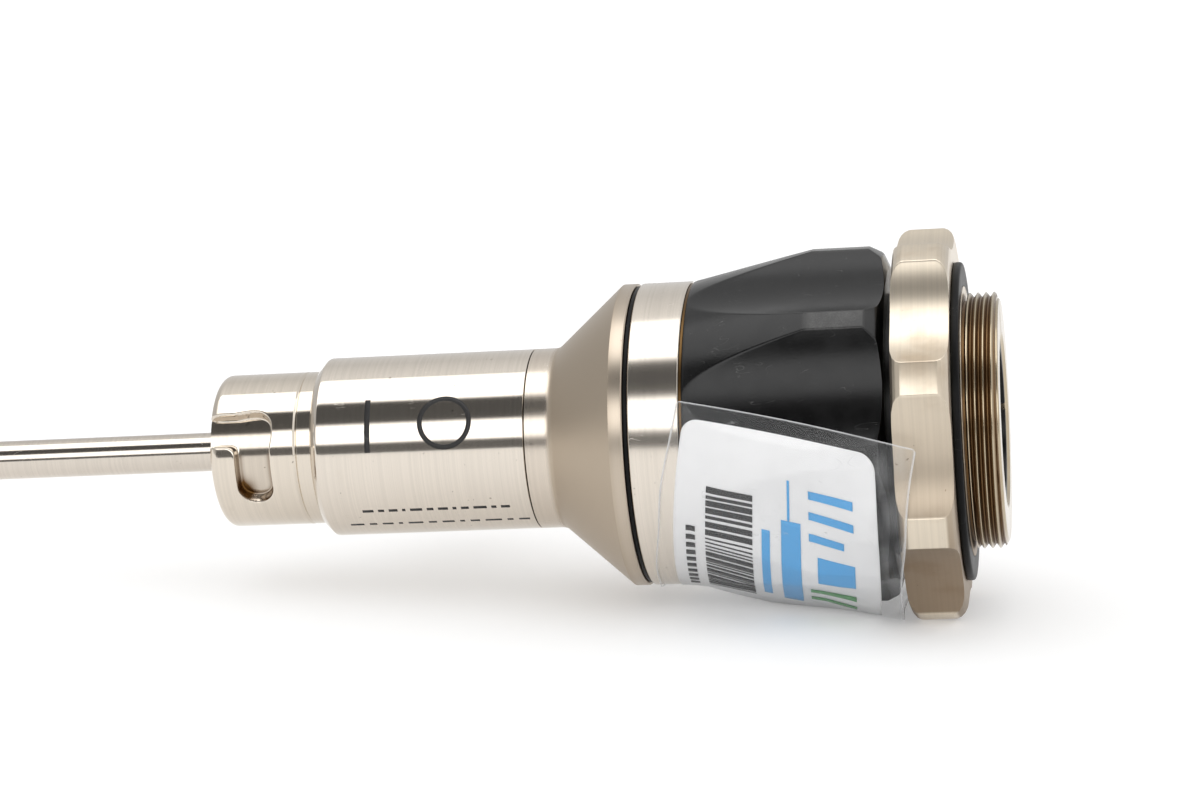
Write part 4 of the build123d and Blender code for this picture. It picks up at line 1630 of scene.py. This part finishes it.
@dataclass(frozen=True)
class AssetLabel:
    """White sticky label with generic print, under a larger clear film.

    An edge is three of its points, each a turn and a station. A box of print has its low
    and high share of the label's width, then of its height.
    """

    lift: float = 0.04
    print_lift: float = 0.14
    film_lift: float = 0.2
    slack: float = 0.9
    label_left: Edge = ((15.6, -25.7), (-39.0, -27.9), (-106.0, -28.3))
    label_right: Edge = ((1.2, -7.3), (-40.0, -7.7), (-120.0, -10.5))
    film_left: Edge = ((21.8, -26.3), (-38.0, -29.6), (-112.0, -30.8))
    film_right: Edge = ((2.6, -3.3), (-38.0, -5.4), (-122.0, -6.0))
    label_corner: tuple[float, float] = (0.08, 0.042)
    film_corner: tuple[float, float] = (0.02, 0.01)
    label_wall: float = 0.05
    film_wall: float = 0.04
    print_wall: float = 0.01
    film_size: tuple[float, float] = (24.0, 42.0)
    slack_turn: float = -30.0
    slack_run: tuple[float, float] = (-28.0, -3.0)
    clearance: float = 0.35
    bars: tuple[float, float, float, float] = (0.155, 0.385, 0.185, 0.66)
    dashes: tuple[float, float, float, float] = (0.06, 0.105, 0.33, 0.02)
    blue: tuple[tuple[float, ...], ...] = (
        (0.555, 0.567, 0.115, 0.245),
        (0.525, 0.62, 0.245, 0.62),
        (0.66, 0.88, 0.135, 0.16),
        (0.66, 0.88, 0.2, 0.225),
        (0.66, 0.83, 0.27, 0.295),
        (0.7, 0.88, 0.34, 0.43),
        (0.43, 0.47, 0.29, 0.6),
    )
    green: tuple[tuple[float, ...], ...] = ((0.66, 0.88, 0.49, 0.52), (0.66, 0.88, 0.56, 0.585))

    @staticmethod
    def bridged(
        ridge: np.ndarray, brink: np.ndarray, turn: np.ndarray, first_turn: float
    ) -> np.ndarray:
        """Radius of a skin that bridges hollows by straight chords between their brinks.

        A chord's radius is the ridge's times the cosine of the brink's half angle, over
        the cosine of the angle from the hollow's middle.

        Args:
            ridge: radius of the ridges.
            brink: the hollows' half angle.
            turn: where.
            first_turn: the turn of a hollow's middle.

        Returns:
            The radius in millimetres.
        """
        lean = np.mod(turn - first_turn + HALF_PITCH, 2 * HALF_PITCH) - HALF_PITCH
        chord = ridge * np.cos(np.radians(brink)) / np.cos(np.radians(lean))
        return np.where(np.abs(lean) < brink, chord, ridge)

    def hull(self, station: np.ndarray, turn: np.ndarray) -> np.ndarray:
        """Radius of a skin stretched over ring, grip and nut.

        It bridges the hollows of both, and from the grip's land it runs straight to the
        nut. Below it hangs a little slack, by a half sine of the station, but not to the
        floor.

        Args:
            station: along the axis.
            turn: round it.

        Returns:
            The radius in millimetres.
        """
        grip, nut = FocusGrip(), CameraMount()
        ridge = np.interp(station, [grip.front, grip.land], [grip.small, grip.large])
        brink = grip.hollows.brink(ridge, grip.hollows.reach(station))
        over_grip = self.bridged(ridge, brink, turn, grip.hollows.first_turn)
        brink = np.float64(nut.hollows.half_angle)
        over_nut = self.bridged(nut.nut_radius, brink, turn, nut.hollows.first_turn)
        crest = nut.nut_front + nut.nut_edge
        share = np.clip((station - grip.land) / (crest - grip.land), 0, 1)
        taut = over_grip * (1 - share) + over_nut * share
        low = np.clip((self.slack_turn - turn) / 40, 0, 1)
        start, stop = self.slack_run
        along = np.clip((station - start) / (stop - start), 0, 1)
        slack = self.slack * low**2 * np.sin(np.pi * along)
        rise = SEAT_HEIGHT + station * np.sin(AXIS_TILT) - self.clearance
        room = rise / np.clip(-np.sin(np.radians(turn)), 0.05, 1)
        hung = np.minimum(taut + slack, np.maximum(room, grip.small + 0.05))
        return np.where(turn < self.slack_turn, hung, taut)

    @staticmethod
    def edge(points: Edge, turn: np.ndarray) -> np.ndarray:
        """Station of a side edge at a turn: the parabola through three of its points."""
        table = np.array(points)
        return np.polyval(np.polyfit(table[:, 0], table[:, 1], 2), turn)

    def patch(
        self, left: Edge, right: Edge, across: np.ndarray, down: np.ndarray
    ) -> tuple[np.ndarray, np.ndarray]:
        """Station and turn at shares of a label's width and height.

        Both side edges run down by turn; a point lies at its share between the two edges'
        points of the same height.

        Args:
            left: the left edge.
            right: the right edge.
            across: share of the width.
            down: share of the height.

        Returns:
            Stations and turns.
        """
        turn_left = left[0][0] + (left[2][0] - left[0][0]) * down
        turn_right = right[0][0] + (right[2][0] - right[0][0]) * down
        start, stop = self.edge(left, turn_left), self.edge(right, turn_right)
        return start + (stop - start) * across, turn_left + (turn_right - turn_left) * across

    def grid(
        self, corner: tuple[float, float], rows: int, columns: int
    ) -> tuple[np.ndarray, np.ndarray]:
        """Shares of a patch with rounded corners.

        Near the top and bottom the row is drawn in by the corner's quarter ellipse.

        Args:
            corner: the corner's size as shares of width and height.
            rows: rows down.
            columns: columns across.

        Returns:
            Shares across and down.
        """
        wide, high = corner
        bend = np.linspace(0, np.pi / 2, 8)
        top = high * (1 - np.cos(bend))
        middle = np.linspace(high, 1 - high, rows)[1:-1]
        down = np.concatenate([top, middle, 1 - top[::-1]])[:, None]
        near = np.clip((high - np.minimum(down, 1 - down)) / high, 0, 1)
        inset = wide * (1 - np.sqrt(1 - near**2))
        across = inset + (1 - 2 * inset) * np.linspace(0, 1, columns)[None]
        return across, np.broadcast_to(down, across.shape)

    def lay(
        self, scope: Spindle, lift: float, across: np.ndarray, down: np.ndarray
    ) -> np.ndarray:
        """Points of the label's own patch at a height above the hull.

        Args:
            scope: the instrument's axis.
            lift: the height in millimetres.
            across: shares of the label's width.
            down: shares of its height.

        Returns:
            Points in metres.
        """
        station, turn = self.patch(self.label_left, self.label_right, across, down)
        return scope.place(station, self.hull(station, turn) + lift, turn)

    def build(self, scope: Spindle) -> None:
        """Label, then its print, then the film over both.

        Args:
            scope: the instrument's axis.
        """
        points = self.lay(scope, self.lift, *self.grid(self.label_corner, 120, 60))
        label = sheet("asset_label", points, self.label_wall)
        dress(label, PAPER, Body.COUPLER, Slot.PAPER)
        self.print_black(scope)
        self.print_colours(scope)
        self.build_film(scope)

    def strips(
        self, scope: Spindle, name: str, boxes: np.ndarray, rows: int
    ) -> bpy.types.Object:
        """Printed rectangles in one piece.

        Args:
            scope: the instrument's axis.
            name: the piece's name.
            boxes: one box in each row.
            rows: how many steps each takes down.

        Returns:
            The piece.
        """
        steps, sides = np.meshgrid(np.linspace(0, 1, rows), np.linspace(0, 1, 13), indexing="ij")
        parts = []
        for k, (left, right, top, foot) in enumerate(boxes):
            across, down = left + (right - left) * sides, top + (foot - top) * steps
            points = self.lay(scope, self.print_lift, across, down)
            parts.append(skin(f"{name}_{k}", points, False, False, SHEET_CREASE))
        return joined(name, parts, self.print_wall)

    def print_black(self, scope: Spindle) -> None:
        """Plain bars of uneven width and a row of dashes beside them.

        Args:
            scope: the instrument's axis.
        """
        rng = np.random.default_rng(7)
        widths = rng.choice([0.0055, 0.011, 0.02], 48)
        gaps = rng.choice([0.0055, 0.008, 0.0105], 48)
        left, right, top, foot = self.bars
        starts = top + np.concatenate([[0], np.cumsum(widths + gaps)[:-1]])
        bars = np.stack([0 * starts + left, 0 * starts + right, starts, starts + widths], 1)
        bars = bars[starts + widths < foot]
        left, right, top, height = self.dashes
        starts = top + 0.034 * np.arange(10)
        dashes = np.stack([0 * starts + left, 0 * starts + right, starts, starts + height], 1)
        piece = self.strips(scope, "label_bars", np.vstack([bars, dashes]), 3)
        dress(piece, INK_BLACK, Body.COUPLER, Slot.BLACK)

    def print_colours(self, scope: Spindle) -> None:
        """Plain blue rule, blocks and bars, and two green bars.

        Args:
            scope: the instrument's axis.
        """
        blue = self.strips(scope, "label_blue", np.array(self.blue), 24)
        dress(blue, INK_BLUE, Body.COUPLER, Slot.PAPER)
        green = self.strips(scope, "label_green", np.array(self.green), 12)
        dress(green, INK_GREEN, Body.COUPLER, Slot.PAPER)

    def build_film(self, scope: Spindle) -> None:
        """Clear film with faint waves and a whiter edge.

        Where it bridges from grip to nut it swells and sinks by two crossed sines, and its
        side edges wander by a third. It is whitest within a tenth of a millimetre of its
        edge.

        Args:
            scope: the instrument's axis.
        """
        across, down = self.grid(self.film_corner, 150, 90)
        station, turn = self.patch(self.film_left, self.film_right, across, down)
        sway = 0.05 * np.sin(turn * 0.31 + station) + 0.06 * np.sin(turn * 0.13 - station * 1.7)
        near_side = np.clip(np.abs(across - 0.5) * 2, 0, 1) ** 8
        station = station + 0.08 * np.sin(turn * 0.17) * near_side
        bridge = np.clip((station + 8.4) / 1.5, 0, 1) * np.clip((-3.9 - station) / 0.8, 0, 1)
        swell = np.abs(sway) * bridge * 1.2
        radius = self.hull(station, turn) + self.film_lift + swell
        piece = sheet("clear_film", scope.place(station, radius, turn), self.film_wall)
        wide, high = self.film_size
        from_edge = np.minimum(
            np.minimum(across, 1 - across) * wide, np.minimum(down, 1 - down) * high
        )
        crease = np.clip(swell, 0, 0.12)
        paint(piece, "edge", np.clip(mound(from_edge, 0.1) + crease, 0, 1).ravel())
        dress(piece, FILM, Body.COUPLER, Slot.FILM)


# Inner pieces, surroundings and the order of work


NODE_FINISHES: dict[str, Finish] = {
    "optics_tube": TUBE_STEEL,
    "light_fibres": PrintedPaper("fibre bundle", (0.72, 0.67, 0.5), 0.3),
    "distal_window": GLASS,
    "objective_prism": GLASS,
    "objective_lenses": GLASS,
    "rod_lenses": GLASS,
    "rod_spacers": CELL_BLACK,
    "post_window": GLASS,
    "ocular_cell": CELL_BLACK,
    "ocular_lenses": GLASS,
    "swivel_retainer": STEEL,
    "grip_seals": RUBBER_BLACK,
    # Painted shade: the coupler core is black so that the gap between grip and nut looks dark
    "coupler_core": CELL_BLACK,
    "lens_cell": CELL_BLACK,
    "front_lens": GLASS,
    "rear_lens": GLASS,
    "cell_retainer": CELL_BLACK,
    "cam_pin": TUBE_STEEL,
}


def dress_inner_nodes(nodes: dict[str, bpy.types.Object]) -> None:
    """Give the model's own inner pieces their finishes.

    Args:
        nodes: the loaded nodes by name.
    """
    for name, finish in NODE_FINISHES.items():
        nodes[name].data.materials.clear()
        nodes[name].data.materials.append(finish.made())


@dataclass(frozen=True)
class Studio:
    """White floor, soft boxes round the instrument and the camera in front of it."""

    lens: float = 96.0
    sensor: float = 36.0
    distance: float = 324.0
    yaw: float = 9.1
    height: float = 10.7
    aim_station: float = -36.46
    aim_rise: float = 36.0 / 3200.0
    clip_start: float = 0.01
    floor_half: float = 1.6
    floor_colour: tuple[float, ...] = (0.72, 0.72, 0.72, 1.0)
    floor_glow: float = 0.3
    box_strength: float = 2.4
    bands: tuple[tuple[float, float], ...] = (
        (0.0, 0.07),
        (11.0, 0.06),
        (14.0, 0.95),
        (34.5, 0.95),
        (39.0, 0.045),
        (66.0, 0.04),
        (70.0, 1.0),
        (104.0, 0.95),
        (107.0, 0.3),
        (109.0, 0.4),
        (140.0, 0.3),
        (180.0, 0.3),
    )
    end_window: tuple[float, float] = (0.45, 0.8)
    west_grey: float = 0.6
    east_grey: float = 1.0
    even_level: float = 0.95
    even_rise: float = 0.3

    def build(self, scope: Spindle) -> None:
        """Floor, surroundings, camera and colour management.

        Args:
            scope: the instrument's axis.
        """
        bpy.context.scene.view_settings.view_transform = "Standard"
        self.build_floor()
        self.build_world()
        self.build_camera(scope)

    def build_floor(self) -> None:
        """Large white floor that the camera, metal and glass see brighter than it is."""
        side = np.array([-self.floor_half, self.floor_half])
        east, north = np.meshgrid(side, side)
        floor = skin("studio_floor", np.stack([east, north, 0 * east], -1), False, False)
        material = bpy.data.materials.new("white floor")
        material.use_nodes = True
        canvas = Canvas(material.node_tree)
        shader = material.node_tree.nodes["Principled BSDF"]
        shader.inputs["Base Color"].default_value = self.floor_colour
        shader.inputs["Roughness"].default_value = 0.9
        shader.inputs["Specular IOR Level"].default_value = 0.1
        shader.inputs["Emission Color"].default_value = WHITE
        camera, mirror = self.rays(canvas)
        seen = canvas.math("MAXIMUM", mirror, camera)
        canvas.feed(
            shader.inputs["Emission Strength"], canvas.math("MULTIPLY", seen, self.floor_glow)
        )
        floor.data.materials.append(material)

    @staticmethod
    def rays(canvas: Canvas) -> tuple[bpy.types.NodeSocket, bpy.types.NodeSocket]:
        """Tell what a ray comes from.

        Args:
            canvas: the canvas of the floor or the world.

        Returns:
            A socket that is 1 for the camera's rays, and one that is 1 for those that metal
            or glass sends on.
        """
        path = canvas.add("ShaderNodeLightPath").outputs
        mirror = canvas.math("MAXIMUM", path["Is Glossy Ray"], path["Is Transmission Ray"])
        return path["Is Camera Ray"], mirror

    def build_world(self) -> None:
        """Soft boxes as bands round the instrument's length.

        The angle round the length, from the front horizon over the top to the back, picks
        a brightness from a ramp; towards the two ends it fades to an even grey. Matt
        surfaces get an even white light instead, and the camera sees white.
        """
        world = bpy.data.worlds.new("studio")
        bpy.context.scene.world = world
        world.use_nodes = True
        canvas = Canvas(world.node_tree)
        place = canvas.add("ShaderNodeTexCoord")
        axes = canvas.add("ShaderNodeSeparateXYZ")
        canvas.feed(axes.inputs[0], place.outputs["Generated"])
        forward = canvas.math("MULTIPLY", axes.outputs["Y"], -1.0)
        angle = canvas.math("ARCTAN2", axes.outputs["Z"], forward)
        share = canvas.math("DIVIDE", angle, np.pi, clamp=True)
        ramp = canvas.add("ShaderNodeValToRGB")
        canvas.feed(ramp.inputs[0], share)
        table = ramp.color_ramp
        while len(table.elements) < len(self.bands):
            table.elements.new(0.5)
        for element, (degrees, level) in zip(table.elements, self.bands):
            element.position = degrees / 180
            element.color = (level, level, level, 1.0)
        bright = canvas.math("MULTIPLY", ramp.outputs[0], self.box_strength)
        westward = canvas.math("MULTIPLY", axes.outputs["X"], -1.0)
        for toward, grey in ((westward, self.west_grey), (axes.outputs["X"], self.east_grey)):
            end = canvas.window(toward, *self.end_window)
            kept = canvas.math("MULTIPLY", bright, canvas.math("SUBTRACT", 1.0, end))
            bright = canvas.math("MULTIPLY_ADD", end, grey, kept)
        even = canvas.math("MULTIPLY_ADD", axes.outputs["Z"], self.even_rise, self.even_level)
        camera, mirror = self.rays(canvas)
        seen = canvas.blend(mirror, even, bright)
        seen = canvas.blend(camera, seen, WHITE)
        back = world.node_tree.nodes["Background"]
        canvas.feed(back.inputs["Color"], seen)
        back.inputs["Strength"].default_value = 1.0

    def build_camera(self, scope: Spindle) -> None:
        """Camera on the photograph's line of sight, level, looking a little above the aim.

        The camera lies out from the aim by the level direction times the cosine of its
        height and upright times the sine; it looks back the same way, by a smaller angle.

        Args:
            scope: the instrument's axis.
        """
        yaw, height = np.radians(self.yaw), np.radians(self.height)
        aim = scope.seat + scope.along * self.aim_station * MM
        level = np.array([np.sin(yaw), -np.cos(yaw), 0.0])
        upright = np.array([0.0, 0.0, 1.0])
        out = level * np.cos(height) + upright * np.sin(height)
        dip = height - np.arctan(self.aim_rise)
        look = -level * np.cos(dip) - upright * np.sin(dip)
        right = np.cross(look, upright)
        right /= np.linalg.norm(right)
        turn = Matrix(np.stack([right, np.cross(right, look), -look], 1).tolist()).to_4x4()
        data = bpy.data.cameras.new("portrait camera")
        data.lens = self.lens
        data.sensor_width = self.sensor
        data.clip_start = self.clip_start
        camera = bpy.data.objects.new("portrait camera", data)
        camera.matrix_world = Matrix.Translation(Vector(aim + out * self.distance * MM)) @ turn
        bpy.context.scene.collection.objects.link(camera)
        bpy.context.scene.camera = camera


def main() -> None:
    """Load the frame, build every piece on it, dress the inner pieces and set up the studio."""
    logging.basicConfig(level=logging.INFO, format="%(name)s: %(message)s")
    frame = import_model()
    scope = Spindle.of_scope(frame["record"])
    telescope = (ShaftAssembly, SheathLock, Barrel, LightPost, ConeHousing)
    coupler = (SwivelSeam, FocusGrip, CameraMount, AssetLabel)
    for piece in telescope + coupler:
        LOG.info("building %s", piece.__name__)
        piece().build(scope)
    dress_inner_nodes(frame["nodes"])
    Studio().build(scope)


if __name__ == "__main__":
    main()
